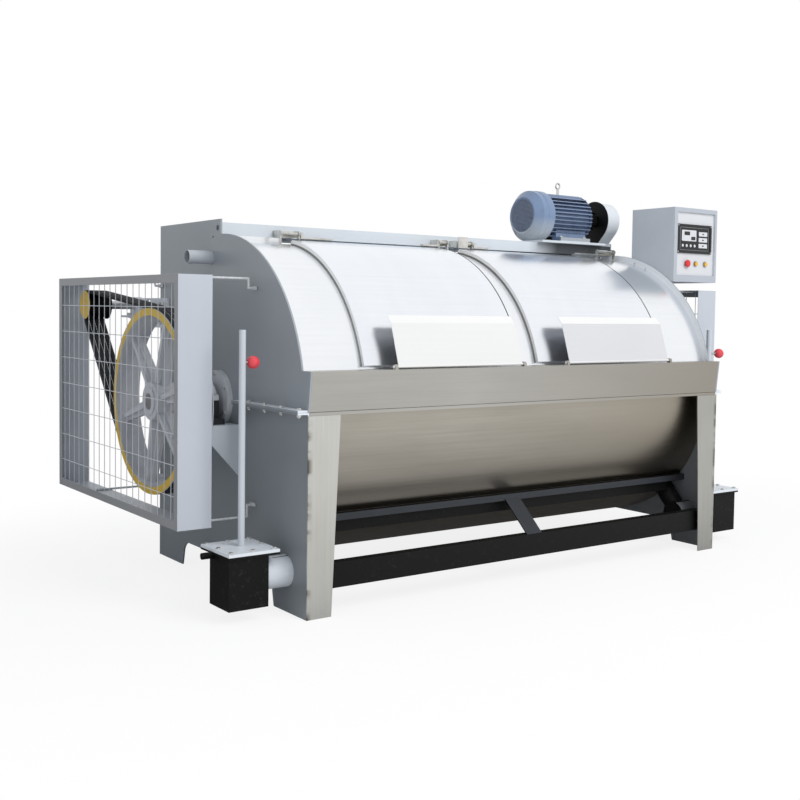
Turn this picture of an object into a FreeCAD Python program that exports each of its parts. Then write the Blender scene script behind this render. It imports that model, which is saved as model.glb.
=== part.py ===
import FreeCAD, Part
import math
import os

V = FreeCAD.Vector
os.makedirs("parts", exist_ok=True)

# End plates: span is outer face to outer face, the rest is measured from the drum axis
span = 2440.0
plate_t = 8.0
tub_clear = 112.0
plate_front_over = 52.0
plate_rear_in = 58.0
plate_top_over = 88.0
arc_over = 22.0
shaft_window_r = 95.0
split_gap = 1.0
notch_top = 112.0
rear_foot = 262.0
front_foot = 255.0
foot_slope = 14.0
leg_t = 6.0
leg_top_w = 148.0
leg_foot_w = 113.0
leg_gap = 14.0
lift_hole_r = 13.0
lift_hole_y = 29.0
lift_hole_drop = 38.0
small_hole_r = 5.5

# Split flanges on the plates and their bolts
flange_out = 45.0
flange_t = 8.0
flange_clear = 200.0
bolt_r = 6.0
bolt_hole_gap = 0.6
bolt_first_in = 26.0
bolt_rear_in = 51.0
rear_bolt_in = 112.0
rear_bolt_n = 9
bolt_pitch = 135.0
bolt_af = 18.0
head_h = 8.0
nut_h = 10.0

# Tub, trough and outer doors, radii about the drum axis
tub_low_r = 700.0
tub_step = 10.0
tub_wall = 4.0
tub_lip_over = 4.0
tub_lip_h = 13.0
rear_lip = 42.0
panel_t = 3.0
panel_low_over = 3.0
panel_lean = 17.0
panel_kick = 7.5
panel_h = 158.5
panel_ledge = 66.0
door_rise = 22.0
door_skin = 3.0
door_gap = 0.3
door_len = 845.0
door_in = 300.0
door_space = 110.0
door_low = 14.0
door_high = 82.0
window_inset = 30.0
window_low = 18.0
window_high = 76.0

# Flaps
flap_len = 672.0
flap_left_in = 123.0
flap_right_in = 132.0
flap_in = 14.0
flap_rise = 10.5
flap_rod_r = 6.0
flap_lean = 18.0
flap_h = 185.0
flap_t = 3.0
flap_band = 43.0
flap_bend = -26.0
knuckle_r = 10.0
knuckle_w = 14.0
knuckle_over = 20.0

# Latches
latch_y = 62.0
latch_pin_rise = 46.0
latch_pin_r = 6.0
latch_left_w = 101.0
latch_mid_left_w = 60.0
latch_mid_right_w = 100.0
latch_right_w = 142.0
latch_seat_gap = 0.2
latch_drop = 16.0
latch_tie_r = 5.0
latch_tie_y = 22.0
latch_tie_rise = 8.0
latch_foot = 8.0
latch_plate_w = 60.0
latch_plate_gap = 0.5
latch_plate_rise = 32.0
latch_cheek = 6.0
latch_eye_r = 13.5
latch_bar_w = 24.0
latch_bar_t = 8.0
latch_bar_gap = 2.5
latch_crank = 12.0
latch_left_in = 60.0
latch_right_in = 177.0
latch_mid_left_in = 7.0
latch_mid_right_in = 115.0
latch_long = 175.0
latch_short = 100.0

# Beams
beam_rise = 28.0
beam_h = 55.0
beam_depth = 310.0
beam_t = 5.0
low_beam_z = 104.0
low_beam_h = 102.0
low_beam_in = 20.0
low_beam_w = 48.0
low_beam_t = 6.0
support_w = 30.0
support_z = 366.0
support_lip = 30.0
support_web = 80.0
support_web_in = 110.0
support_t = 6.0
tie_w = 90.0
tie_t = 8.0

# Drum, its doors and shafts
drum_gap = 80.0
drum_wall = 4.0
drum_side_gap = 47.0
drum_end_t = 6.0
drum_door_len = 720.0
drum_door_x = 510.0
drum_door_low = 30.0
drum_door_high = 75.0
drum_door_lap = 2.0
drum_door_side = 20.0
drum_door_t = 3.5
drum_door_gap = 0.4
guide_w = 14.0
guide_lip = 10.0
guide_gap = 0.5
guide_run = 0.3
guide_angle = 100.0
lifter_h = 90.0
lifter_half_angle = 6.0
lifter_first = 150.0
lifter_step = 90.0
finger_r = 20.0
finger_half = 90.0
shaft_flange_r = 150.0
shaft_flange_t = 20.0
shaft_root_r = 60.0
shaft_root_len = 25.0
shaft_r = 45.0
shaft_end_r = 36.0
run_gap = 0.05

# Bearings on the end plates
seal_r = 126.0
seal_t = 25.0
seal_gap = 1.0
seal_pcd_r = 110.0
screw_r = 5.0
screw_gap = 0.3
screw_af = 16.0
screw_head = 7.0
shelf_drop = 99.0
shelf_t = 12.0
shelf_out = 200.0
shelf_half = 186.0
gusset_t = 10.0
gusset_h = 206.0
block_x = 50.0
block_w = 110.0
block_base_half = 150.0
block_base_t = 25.0
block_half = 92.0
cap_bolt_y = 74.0

# Drum pulleys and countershaft
pulley_r = 394.0
rim_t = 31.0
rim_gap = 62.0
rim_w = 110.0
hub_out = 1.0
hub_r = 58.0
hub_boss_r = 80.0
hub_boss_in = 6.0
spoke_n = 6
spoke_root_w = 64.0
spoke_tip_w = 46.0
spoke_t = 20.0
spoke_rib_w = 20.0
spoke_rib_root = 74.0
spoke_rib_tip = 50.0
spoke_turn = 15.0
groove_w = 23.4
groove_foot_w = 17.0
groove_d = 13.0
groove_pitch = 25.5
belt_gap = 0.5
belt_h = 10.5
belt_proud = 1.0
counter_over = 121.0
counter_z = 405.0
counter_r = 20.0
small_r = 68.0
driven_r = 165.0
driven_rim_t = 22.0
driven_web_t = 14.0
driven_hub_r = 38.0
bracket_t = 10.0
bracket_lap = 102.0
bracket_over = 97.0
bracket_under = 107.0
bracket_above = 36.0
bracket_screw_in = 25.0
bracket_hole_r = 30.0
counter_shelf_w = 105.0
counter_shelf_t = 10.0
counter_shelf_over = 83.0
unit_h = 50.0
unit_x = 60.0
unit_half_w = 22.0
unit_half_y = 72.0
unit_base_t = 13.0
unit_r = 40.0

# Motor, its plate, pulley and belt cover
motor_y = 153.0
motor_base_t = 20.0
motor_pad_t = 8.0
motor_shaft_h = 132.0
motor_base_before = 24.0
motor_base_len = 477.0
motor_base_over = 40.0
motor_in = 541.0
motor_fan_len = 120.0
motor_fan_r = 138.0
motor_face_r = 100.0
motor_slope = 38.0
motor_sheet = 2.0
motor_core_r = 108.0
motor_fin_t = 5.0
motor_fin_pitch = 21.0
motor_fin_r = 131.0
motor_fin_n = 11
motor_top_fin_n = 5
motor_stator_len = 411.0
motor_nose_len = 50.0
motor_nose_r = 70.0
motor_shoulder_len = 30.0
motor_shoulder_r = 34.0
motor_foot_half = 108.0
motor_foot_w = 44.0
motor_foot_in = 171.0
motor_foot_len = 224.0
motor_foot_t = 18.0
motor_bolt_in = 23.0
motor_web_h = 60.0
motor_web_in = 60.0
motor_shaft_r = 19.0
motor_pulley_r = 50.0
motor_hub_r = 32.0
motor_hub_in = 30.0
drive_rim_w = 78.0
drive_pitch = 25.5
drive_side_gap = 6.0
cover_back_t = 6.0
cover_depth = 99.0
cover_t = 2.0
cover_motor_r = 105.0
cover_counter_r = 190.0
cover_back_lip = 8.0
cover_hole_r = 26.0
cover_motor_hole_r = 48.0
eye_in = 263.0
eye_r = 15.0
eye_bar_r = 4.5
eye_stem = 34.0
terminal_len = 120.0
terminal_h = 110.0
terminal_d = 62.0

# Guards over the drum pulleys
guard_gap = 59.0
guard_depth = 147.0
guard_room = 31.0
guard_back = 121.0
guard_under = 83.0
guard_over = 56.0
guard_t = 2.5
guard_border = 35.0
mesh_t = 4.0
mesh_gap = 0.5
mesh_cols = 21
mesh_rows = 8
rod_r = 5.0
rod_lap = 75.0
rod_bend = 33.0
stud_front_in = 103.0
stud_rear_in = 17.0
stud_right_in = 312.0
stud_top_in = 47.0
stud_rear_down = 29.0
stud_low_in = 56.0
stud_foot_in = 30.0
rod_front_in = 103.0
rod_rear_in = 2.0
wing_r = 9.0
wing_l = 12.0
wing_span = 22.0

# Water inlet and drains
inlet_y = 92.0
inlet_in = 69.0
inlet_r = 30.0
inlet_wall = 3.0
inlet_out = 117.0
drain_back = 160.0
drain_z = 167.0
drain_r = 64.0
drain_wall = 4.0
drain_in = 110.0
branch_r = 48.0
drain_box_in = 119.0
drain_box_w = 171.0
drain_box_before = 76.0
drain_box_behind = 88.0
drain_sump = 112.0
drain_head = 100.0
drain_box_wall = 5.0
drain_rim_t = 8.0
lid_lap_in = 41.0
lid_lap_out = 8.0
lid_lap_front = 15.0
lid_lap_rear = 65.0
lid_t = 12.0
lid_edge = 16.0
stub_r = 13.0
stub_len = 50.0
sleeve_in = 62.0
sleeve_back = 35.5
sleeve_r = 13.45
sleeve_wall = 2.6
sleeve_len = 848.0
slot_len = 142.0
slot_w = 14.0
handle_rod_r = 6.0
handle_rest = 15.0
handle_arm_r = 5.0
ball_r = 26.0
ball_left_x = 47.0
ball_right_x = 84.0
plug_r = 27.0
plug_h = 14.0
plug_gap = 0.5
plug_hole_r = 22.0

# Control box on the right plate
box_w = 350.0
box_d = 299.0
box_rear = 156.0
box_drop = 216.0
box_h = 397.0
box_screws = ((30.0, 40.0), (130.0, 40.0), (30.0, 100.0), (110.0, 70.0))
box_t = 2.0
panel_side = 26.0
panel_side_right = 15.0
panel_low_edge = 37.0
panel_high_edge = 23.0
panel_in = 12.0
panel_plate_t = 2.0
unit_left = 29.0
unit_right = 40.0
meter_up = 155.0
meter_h = 155.0
unit_d = 10.0
screen_in = 3.0
screen_edge = 14.0
button_up = 99.0
stop_x = 113.0
button1_x = 188.0
button2_x = 267.0
bezel_r = 16.0
bezel_t = 5.0
button_r = 11.0
button_gap = 0.4
button_out = 7.0
button_stem_r = 7.0
stem_gap = 0.5
stem_len = 12.0
button_travel = 5.0
stop_r = 20.0
stop_cap_t = 10.0
stop_lift = 6.0

# Derived places
x_out = span / 2
x_in = x_out - plate_t
axis_z = tub_low_r + tub_clear
tub_up_r = tub_low_r - tub_step
plate_front = tub_low_r + plate_front_over
plate_rear = tub_low_r - plate_rear_in
plate_top = tub_low_r + plate_top_over
plate_arc_r = tub_low_r + arc_over
leg_h = axis_z - leg_gap
bolt_first = plate_front - bolt_first_in
tub_lip_y = plate_front + tub_lip_over
panel_low_y = plate_front + panel_low_over
panel_top_y = panel_low_y + panel_lean
panel_back_y = panel_top_y - panel_ledge
door_r = tub_up_r + door_rise
door1_x = -x_out + door_in
door2_x = door1_x + door_len + door_space
flap1_x = door1_x + flap_left_in
flap2_x = door2_x + flap_right_in
flap_y = panel_top_y - flap_in
latch_pin_z = tub_up_r + latch_pin_rise
latch_bar_z = door_r + latch_bar_gap
latch_left_x = door1_x + latch_left_in
latch_mid_left_x = door1_x + door_len + latch_mid_left_in
latch_mid_right_x = door2_x + latch_mid_right_in
latch_right_x = x_in - latch_right_in
beam_low = tub_up_r + beam_rise
beam_top = beam_low + beam_h
low_beam_y = plate_front - low_beam_in
support_back = -math.sqrt(tub_low_r ** 2 - (axis_z - support_z) ** 2) - 1
support_y = support_w - support_back
drum_r = tub_up_r - drum_gap
drum_half = x_in - drum_side_gap
rim_x = block_x + block_w + rim_gap
counter_y = plate_rear + counter_over
bracket_front = plate_rear - bracket_lap
bracket_rear = counter_y + bracket_over
bracket_low = counter_z - bracket_under
bracket_high = counter_z + bracket_above
counter_shelf_front = counter_y - counter_shelf_over
motor_fan_x = x_out - motor_in
motor_base_x0 = motor_fan_x - motor_base_before
motor_base_x1 = motor_base_x0 + motor_base_len
motor_stator_x1 = motor_fan_x + motor_stator_len
motor_nose_x = motor_stator_x1 + motor_nose_len
motor_shoulder_x = motor_nose_x + motor_shoulder_len
motor_foot_x0 = motor_fan_x + motor_foot_in
motor_hub_x = x_out - motor_hub_in
eye_x = motor_fan_x + eye_in
guard_out = rim_x + rim_w + hub_out + guard_gap
guard_front = pulley_r + guard_room
guard_rear = counter_y + small_r + guard_back
guard_low = axis_z - pulley_r - guard_under
guard_high = axis_z + counter_z + small_r + guard_over
stud_front_y = guard_front - stud_front_in
stud_rear_y = plate_rear - stud_rear_in
stud_right_y = plate_rear - stud_right_in
stud_top_z = guard_high - stud_top_in
stud_rear_z = guard_high - stud_rear_down
stud_low_z = guard_low + stud_low_in
rod_front_y = guard_front - rod_front_in
rod_rear_y = plate_rear - rod_rear_in
inlet_z = tub_up_r - inlet_in
drain_y = plate_front - drain_back
drain_box_out = drain_box_in + drain_box_w
drain_box_front = drain_y + drain_box_before
drain_box_rear = drain_y - drain_box_behind
drain_box_low = drain_z - drain_sump
drain_box_top = drain_z + drain_head
lid_in = drain_box_in - lid_lap_in
lid_out = drain_box_out + lid_lap_out
lid_front = drain_box_front + lid_lap_front
lid_rear = drain_box_rear - lid_lap_rear
lid_z = drain_box_top + lid_t
sleeve_x = drain_box_in + sleeve_in
sleeve_y = drain_y - sleeve_back
sleeve_top = lid_z + sleeve_len
slot_low = sleeve_top - slot_len
handle_z = slot_low + handle_rest
box_front = box_rear + box_d
box_low = axis_z + plate_top - box_drop
box_high = box_low + box_h
unit_low_z = box_low + meter_up
unit_high_z = unit_low_z + meter_h
button_z = box_low + button_up
split_low = axis_z - split_gap / 2
split_high = axis_z + split_gap / 2
top_z = axis_z + plate_top
panel_top_z = split_high + panel_h
flap_z = panel_top_z + flap_rise
base_top = axis_z + beam_top + motor_base_t
motor_z = base_top + motor_shaft_h
counter_axis_z = axis_z + counter_z
rear_most = max(guard_rear, counter_y + cover_counter_r + cover_back_lip)
shift = V(0, (panel_top_y - rear_most) / 2, 0)


def box(x0, x1, y0, y1, z0, z1):
    return Part.makeBox(x1 - x0, y1 - y0, z1 - z0, V(x0, y0, z0))


def rod_x(x0, x1, y, z, r):
    return Part.makeCylinder(r, x1 - x0, V(x0, y, z), V(1, 0, 0))


def rod_y(x, y0, y1, z, r):
    return Part.makeCylinder(r, y1 - y0, V(x, y0, z), V(0, 1, 0))


def rod_z(x, y, z0, z1, r):
    return Part.makeCylinder(r, z1 - z0, V(x, y, z0), V(0, 0, 1))


# A closed outline in the plane x; a step is a point, or a pair of points for an arc
def outline(x, start, steps):
    edges = []
    last = V(x, start[0], start[1])
    for step in list(steps) + [start]:
        arc = isinstance(step[0], tuple)
        end = V(x, step[1][0], step[1][1]) if arc else V(x, step[0], step[1])
        if arc:
            edges.append(Part.Arc(last, V(x, step[0][0], step[0][1]), end).toShape())
        elif last.distanceToPoint(end) > 1e-6:
            edges.append(Part.makeLine(last, end))
        last = end
    return Part.Wire(edges)


def prism(x0, x1, start, steps):
    return Part.Face(outline(x0, start, steps)).extrude(V(x1 - x0, 0, 0))


# A point at radius r and angle a, counted from the front up and over the top
def polar(r, a):
    t = math.radians(a)
    return (-r * math.cos(t), axis_z + r * math.sin(t))


def arc_strip(r0, r1, a0, a1, x0, x1):
    m = (a0 + a1) / 2
    steps = [(polar(r1, m), polar(r1, a1)), polar(r0, a1), (polar(r0, m), polar(r0, a0))]
    return prism(x0, x1, polar(r0, a0), [polar(r1, a0)] + steps)


def fuse(first, *others):
    return first.multiFuse(list(others)).removeSplitter() if others else first


def cut(solid, *tools):
    return solid.cut(list(tools))


def mirror(shape):
    return shape.mirror(V(0, 0, 0), V(1, 0, 0))


def pair(shape):
    return [shape, mirror(shape)]


def hexagon(centre, axis, af, h):
    ring = Part.makeCircle(af / math.sqrt(3), centre, axis)
    pts = ring.discretize(7)
    return Part.Face(Part.makePolygon(pts)).extrude(axis * h)


# Bars along a line of points with round bends
def bent_rod(points, r):
    pieces = []
    for a, b in zip(points, points[1:]):
        pieces.append(Part.makeCylinder(r, a.distanceToPoint(b), a, b - a))
    for p in points[1:-1]:
        pieces.append(Part.makeSphere(r, p))
    return fuse(*pieces)


# The outline of a belt round two pulleys; centres are (y, z)
def belt_wire(x, c0, r0, c1, r1):
    a = V(x, c0[0], c0[1])
    b = V(x, c1[0], c1[1])
    along = (b - a)
    dist = along.Length
    along.normalize()
    side = V(0, -along.z, along.y)
    lean = math.asin((r0 - r1) / dist)
    up = along * math.sin(lean) + side * math.cos(lean)
    down = along * math.sin(lean) - side * math.cos(lean)
    e0 = Part.makeLine(a + up * r0, b + up * r1)
    e1 = Part.Arc(b + up * r1, b + along * r1, b + down * r1).toShape()
    e2 = Part.makeLine(b + down * r1, a + down * r0)
    e3 = Part.Arc(a + down * r0, a - along * r0, a + up * r0).toShape()
    return Part.Wire([e0, e1, e2, e3]), a + up * r0, up


def v_belt(x, c0, r0, c1, r1):
    path, start, up = belt_wire(x, c0, r0, c1, r1)
    slope = (groove_w - groove_foot_w) / 2 / groove_d
    top = groove_w / 2 - belt_gap + slope * belt_proud
    low = groove_w / 2 - belt_gap - slope * belt_h
    out = up * belt_proud
    deep = up * -belt_h
    ring = [start + out + V(-top, 0, 0), start + out + V(top, 0, 0)]
    ring += [start + deep + V(low, 0, 0), start + deep + V(-low, 0, 0)]
    profile = Part.makePolygon(ring + ring[:1])
    return Part.Solid(path.makePipeShell([profile], True, False))


# Groove rings to be cut out of a pulley's rim
def grooves(centre_x, y, z, r, n, pitch):
    tools = []
    for i in range(n):
        x = centre_x + (i - (n - 1) / 2) * pitch
        w = groove_w / 2
        f = groove_foot_w / 2
        slope = (w - f) / groove_d
        pts = [V(x - w - slope, y + r + 1, z), V(x + w + slope, y + r + 1, z)]
        pts += [V(x + f, y + r - groove_d, z), V(x - f, y + r - groove_d, z)]
        face = Part.Face(Part.makePolygon(pts + pts[:1]))
        tools.append(face.revolve(V(x, y, z), V(1, 0, 0), 360))
    return tools


def save(name, *solids):
    flat = []
    for s in solids:
        flat += list(s) if isinstance(s, list) else [s]
    shape = flat[0] if len(flat) == 1 else Part.makeCompound(flat)
    shape = shape.copy()
    shape.translate(shift)
    shape.exportStep("parts/" + name + ".step")
    b = shape.BoundBox
    n = len(shape.Solids)
    print(name, n, [round(v, 1) for v in (b.XMin, b.XMax, b.YMin, b.YMax, b.ZMin, b.ZMax)], shape.isValid())


# Bolts along the split of the end plates
bolt_front = [-bolt_first + bolt_pitch * i for i in range(4)]
bolt_rear = [plate_rear - bolt_rear_in - bolt_pitch * i for i in range(3)]
bolt_hole_r = bolt_r + bolt_hole_gap
bolt_x = x_out + flange_out / 2 + plate_t / 4
seal_angles = [30 + 60 * i for i in range(6)]
seal_points = [(seal_pcd_r * math.cos(math.radians(a)), seal_pcd_r * math.sin(math.radians(a))) for a in seal_angles]
bracket_ys = (bracket_front + bracket_screw_in, plate_rear - bracket_screw_in)
bracket_zs = (bracket_low + bracket_screw_in, bracket_high - bracket_screw_in)
bracket_points = [(y, z) for z in bracket_zs for y in bracket_ys]

# Upper end plates with their half of the split flange
arc_foot_y = -math.sqrt(plate_arc_r ** 2 - (panel_top_z - axis_z) ** 2)
arc_mid = polar(plate_arc_r, 50)
upper_steps = [(-panel_low_y - 1, split_high + panel_kick), (-panel_top_y, panel_top_z), (arc_foot_y, panel_top_z)]
upper_steps += [(arc_mid, (0, axis_z + plate_arc_r)), (0, top_z), (plate_rear, top_z), (plate_rear, split_high)]
upper = prism(x_in, x_out, (-panel_low_y, split_high), upper_steps)
for y0, y1 in ((-plate_front, -flange_clear), (flange_clear, plate_rear)):
    upper = fuse(upper, box(x_out - plate_t / 2, x_out + flange_out, y0, y1, split_high, split_high + flange_t))
shaft_window = rod_x(x_in - 1, x_out + 1, 0, axis_z, shaft_window_r)
split_holes = [rod_z(bolt_x, y, split_low - 50, split_high + 50, bolt_hole_r) for y in bolt_front + bolt_rear]
seal_holes = [rod_x(x_in - 1, x_out + seal_t + 1, y, axis_z + z, screw_r + screw_gap) for y, z in seal_points]
bracket_holes = [rod_x(x_in - 1, x_out + bracket_t + 1, y, axis_z + z, screw_r + screw_gap) for y, z in bracket_points]
lift_hole = rod_x(x_in - 1, x_out + 1, lift_hole_y, top_z - lift_hole_drop, lift_hole_r)
small_hole = rod_x(x_in - 1, x_out + 1, lift_hole_y + 45, top_z - 2 * lift_hole_drop, small_hole_r)
box_points = [(-box_rear - y, box_low + z) for y, z in box_screws]
box_holes = [rod_x(x_in - 1, x_out + box_t + 1, y, z, screw_r + screw_gap) for y, z in box_points]


def stud_holes(y, z):
    return rod_x(x_in - 1, x_out + 1, y, z, rod_r + screw_gap)


stud_front_top = stud_holes(-stud_front_y, stud_top_z)
upper = cut(upper, shaft_window, lift_hole, small_hole, stud_front_top, *split_holes, *seal_holes, *bracket_holes)
inlet_hole = rod_x(-x_out - 1, -x_in + 20, inlet_y, axis_z + inlet_z, inlet_r)
save("end_plate_upper_left", cut(mirror(upper), inlet_hole, mirror(stud_holes(stud_rear_y, stud_rear_z))))
save("end_plate_upper_right", cut(upper, stud_holes(stud_right_y, stud_top_z), *box_holes))

# Lower end plates with the feet
fy = -plate_front + front_foot
ry = plate_rear - rear_foot
low_steps = [(-plate_front, split_low), (plate_rear, split_low), (plate_rear, 0), (ry, 0)]
low_steps += [(ry - foot_slope, notch_top - 50)]
low_steps += [((ry - foot_slope - 20, notch_top - 14), (ry - foot_slope - 70, notch_top))]
low_steps += [(fy + foot_slope + 50, notch_top)]
low_steps += [((fy + foot_slope + 12, notch_top - 12), (fy + foot_slope, notch_top - 50)), (fy, 0)]
lower = prism(x_in, x_out, (-plate_front, 0), low_steps)
for y0, y1 in ((-plate_front, -flange_clear), (flange_clear, plate_rear)):
    lower = fuse(lower, box(x_out - plate_t / 2, x_out + flange_out, y0, y1, split_low - flange_t, split_low))
drain_hole = rod_x(x_in - 1, x_out + 1, -drain_y, drain_z, drain_r)
low_studs = [stud_holes(-stud_front_y, stud_low_z), stud_holes(plate_rear - stud_foot_in, stud_low_z)]
lower = cut(lower, shaft_window, drain_hole, *split_holes, *seal_holes, *low_studs)
save("end_plate_lower_left", mirror(lower))
save("end_plate_lower_right", lower)

# Front legs
leg_pts = [V(x_out, -plate_front, 0), V(x_out, -plate_front, leg_h)]
leg_pts += [V(x_out - leg_top_w, -plate_front, leg_h), V(x_out - leg_foot_w, -plate_front, 0)]
leg = Part.Face(Part.makePolygon(leg_pts + leg_pts[:1])).extrude(V(0, -leg_t, 0))
save("front_legs", pair(leg))

# Bolts of the split flanges and of the tub's rear lips
rear_bolt_y = tub_low_r + rear_lip / 2
rear_bolt_step = 2 * (x_in - rear_bolt_in) / (rear_bolt_n - 1)
rear_bolt_x = [-x_in + rear_bolt_in + rear_bolt_step * i for i in range(rear_bolt_n)]


def through_bolt(x, y):
    z0 = split_low - flange_t
    z1 = split_high + flange_t
    shank = rod_z(x, y, z0 - nut_h - 4, z1, bolt_r)
    head = hexagon(V(x, y, z1), V(0, 0, 1), bolt_af, head_h)
    nut = hexagon(V(x, y, z0 - nut_h), V(0, 0, 1), bolt_af, nut_h)
    return fuse(shank, head, nut)


bolts = []
for y in bolt_front + bolt_rear:
    bolts += pair(through_bolt(bolt_x, y))
for x in rear_bolt_x:
    bolts.append(through_bolt(x, rear_bolt_y))

# Tub lower half with end walls, lips and drain outlets
half_low = box(-span, span, -span, span, -span, split_low)
half_high = box(-span, span, -span, span, split_high, span * 2)
tub_low = rod_x(-x_in, x_in, 0, axis_z, tub_low_r)
tub_low = cut(tub_low, rod_x(-x_in + tub_wall, x_in - tub_wall, 0, axis_z, tub_low_r - tub_wall))
tub_low = tub_low.common(half_low)
front_lip = box(-x_in, x_in, -tub_lip_y, -tub_low_r + tub_wall / 2, split_low - tub_lip_h, split_low)
back_lip = box(-x_in, x_in, tub_low_r - tub_wall / 2, tub_low_r + rear_lip, split_low - flange_t, split_low)
tub_low = fuse(tub_low, front_lip, back_lip)
rear_holes = [rod_z(x, rear_bolt_y, split_low - 50, split_high + 50, bolt_hole_r) for x in rear_bolt_x]
tub_window = rod_x(-span, span, 0, axis_z, shaft_window_r)
to_axis = V(0, drain_y, axis_z - drain_z)
to_axis.normalize()
drain_start = V(x_in - drain_in / 2, -drain_y, drain_z)
reach = math.hypot(drain_y, axis_z - drain_z)
outlet = Part.makeCylinder(branch_r - drain_wall, reach * 0.5, drain_start, to_axis)
save("tub_lower", cut(tub_low, tub_window, outlet, mirror(outlet), *rear_holes))

# Tub upper skin with the two loading windows
tub_up = rod_x(-x_in, x_in, 0, axis_z, tub_up_r)
tub_up = cut(tub_up, rod_x(-x_in + tub_wall, x_in - tub_wall, 0, axis_z, tub_up_r - tub_wall))
tub_up = tub_up.common(half_high)
up_lip = box(-x_in, x_in, tub_up_r - tub_wall / 2, tub_low_r + rear_lip, split_high, split_high + flange_t)
tub_up = fuse(tub_up, up_lip)
windows = []
for x in (door1_x, door2_x):
    w = arc_strip(tub_up_r - 40, tub_up_r + 20, window_low, window_high, x + window_inset, x + door_len - window_inset)
    windows.append(w)
inlet_low = rod_x(-x_out, -x_in + 20, inlet_y, axis_z + inlet_z, inlet_r)
save("tub_upper", cut(tub_up, tub_window, inlet_low, *windows, *rear_holes))

# Front panel, a folded sheet with the knuckles of the flaps
y_in = -tub_up_r - 0.5
fold = [(-panel_low_y, split_high), (-panel_low_y - 1, split_high + panel_kick), (-panel_top_y, panel_top_z)]
fold += [(-panel_back_y, panel_top_z), (-panel_back_y, panel_top_z - panel_t)]
fold += [(-panel_top_y + panel_t, panel_top_z - panel_t), (-panel_low_y + panel_t, split_high + panel_kick)]
fold += [(-panel_low_y + panel_t, split_high + panel_t), (y_in, split_high + panel_t)]
panel = prism(-x_in, x_in, (y_in, split_high), fold)
knuckle_bore = flap_rod_r + run_gap
for x in (flap1_x, flap2_x):
    for x0 in (x - knuckle_over, x + flap_len + knuckle_over - knuckle_w):
        eye = rod_x(x0, x0 + knuckle_w, -flap_y, flap_z, knuckle_r)
        foot = box(x0, x0 + knuckle_w, -flap_y - knuckle_r, -flap_y + knuckle_r, panel_top_z - 1, flap_z)
        hole = rod_x(x0 - 1, x0 + knuckle_w + 1, -flap_y, flap_z, knuckle_bore)
        panel = cut(fuse(panel, eye, foot), hole)
save("front_panel", panel)

# Outer doors, shallow curved pans that run over the tub skin
door_in = tub_up_r + door_gap
edge = math.degrees(door_skin / door_r)


def door(x):
    skin = arc_strip(door_r - door_skin, door_r, door_low, door_high, x, x + door_len)
    left = arc_strip(door_in, door_r, door_low, door_high, x, x + door_skin)
    right = arc_strip(door_in, door_r, door_low, door_high, x + door_len - door_skin, x + door_len)
    low = arc_strip(door_in, door_r, door_low, door_low + edge, x, x + door_len)
    high = arc_strip(door_in, door_r, door_high - edge, door_high, x, x + door_len)
    return fuse(skin, left, right, low, high)


save("door_left", door(door1_x))
save("door_right", door(door2_x))

# Flaps with their hinge rods
lean = math.radians(flap_lean)
bend = math.radians(flap_lean - flap_bend)


def flap(x):
    d = (math.sin(lean), math.cos(lean))
    n = (-math.cos(lean), math.sin(lean))
    e = (math.sin(bend), math.cos(bend))
    m = (-math.cos(bend), math.sin(bend))
    p = (-flap_y, flap_z)
    q = (p[0] + d[0] * flap_h, p[1] + d[1] * flap_h)
    tip = (q[0] + e[0] * flap_band, q[1] + e[1] * flap_band)
    k = flap_t * math.tan((lean - bend) / 2)
    back = [(tip[0] + m[0] * flap_t, tip[1] + m[1] * flap_t)]
    back += [(q[0] + n[0] * flap_t - d[0] * k, q[1] + n[1] * flap_t - d[1] * k)]
    back += [(p[0] + n[0] * flap_t, p[1] + n[1] * flap_t)]
    leaf = prism(x, x + flap_len, p, [q, tip] + back)
    return fuse(leaf, rod_x(x - knuckle_over - 4, x + flap_len + knuckle_over + 4, -flap_y, flap_z, flap_rod_r))


save("flap_left", flap(flap1_x))
save("flap_right", flap(flap2_x))

# Latch brackets on the top beam and their levers; to is the side the lever reaches to
pin_z = axis_z + latch_pin_z


def latch_bracket(x, to, width):
    x0, x1 = sorted((x, x - to * width))
    y1 = -latch_seat_gap
    low = pin_z - latch_drop
    body = box(x0, x1, y1 - latch_cheek, y1, low, pin_z + latch_eye_r)
    for a in (x0, x1 - latch_cheek):
        cheek = box(a, a + latch_cheek, -latch_y, y1, low, pin_z + latch_eye_r)
        body = fuse(body, cheek, rod_x(a, a + latch_cheek, -latch_y, pin_z, latch_eye_r))
        over = any(d < a + latch_cheek and a < d + door_len for d in (door1_x, door2_x))
        reach = door_r + latch_bar_gap if over else tub_up_r + latch_seat_gap
        foot = box(a, a + latch_cheek, -latch_y - latch_foot, -latch_y + latch_foot, axis_z + tub_up_r - 30, pin_z)
        body = fuse(body, cut(foot, rod_x(a - 1, a + latch_cheek + 1, 0, axis_z, reach)))
    body = fuse(body, rod_x(x0, x1, -latch_tie_y, pin_z + latch_tie_rise, latch_tie_r))
    return cut(body, rod_x(x0 - 1, x1 + 1, -latch_y, pin_z, latch_pin_r + run_gap))


def latch_lever(x, to, width, length):
    near = x + to * 2
    far = x - to * (width - 1)
    a, b = sorted((near + to * latch_crank, far))
    pin = rod_x(a, b, -latch_y, pin_z, latch_pin_r)
    c0, c1 = sorted((near, near + to * latch_crank))
    low = axis_z + latch_bar_z
    crank = box(c0, c1, -latch_y - latch_bar_w / 2, -latch_y + latch_bar_w / 2, low, pin_z + latch_pin_r)
    e0, e1 = sorted((near, x + to * length))
    bar = box(e0, e1, -latch_y - latch_bar_w / 2, -latch_y + latch_bar_w / 2, low, low + latch_bar_t)
    return fuse(pin, crank, bar)


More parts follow.
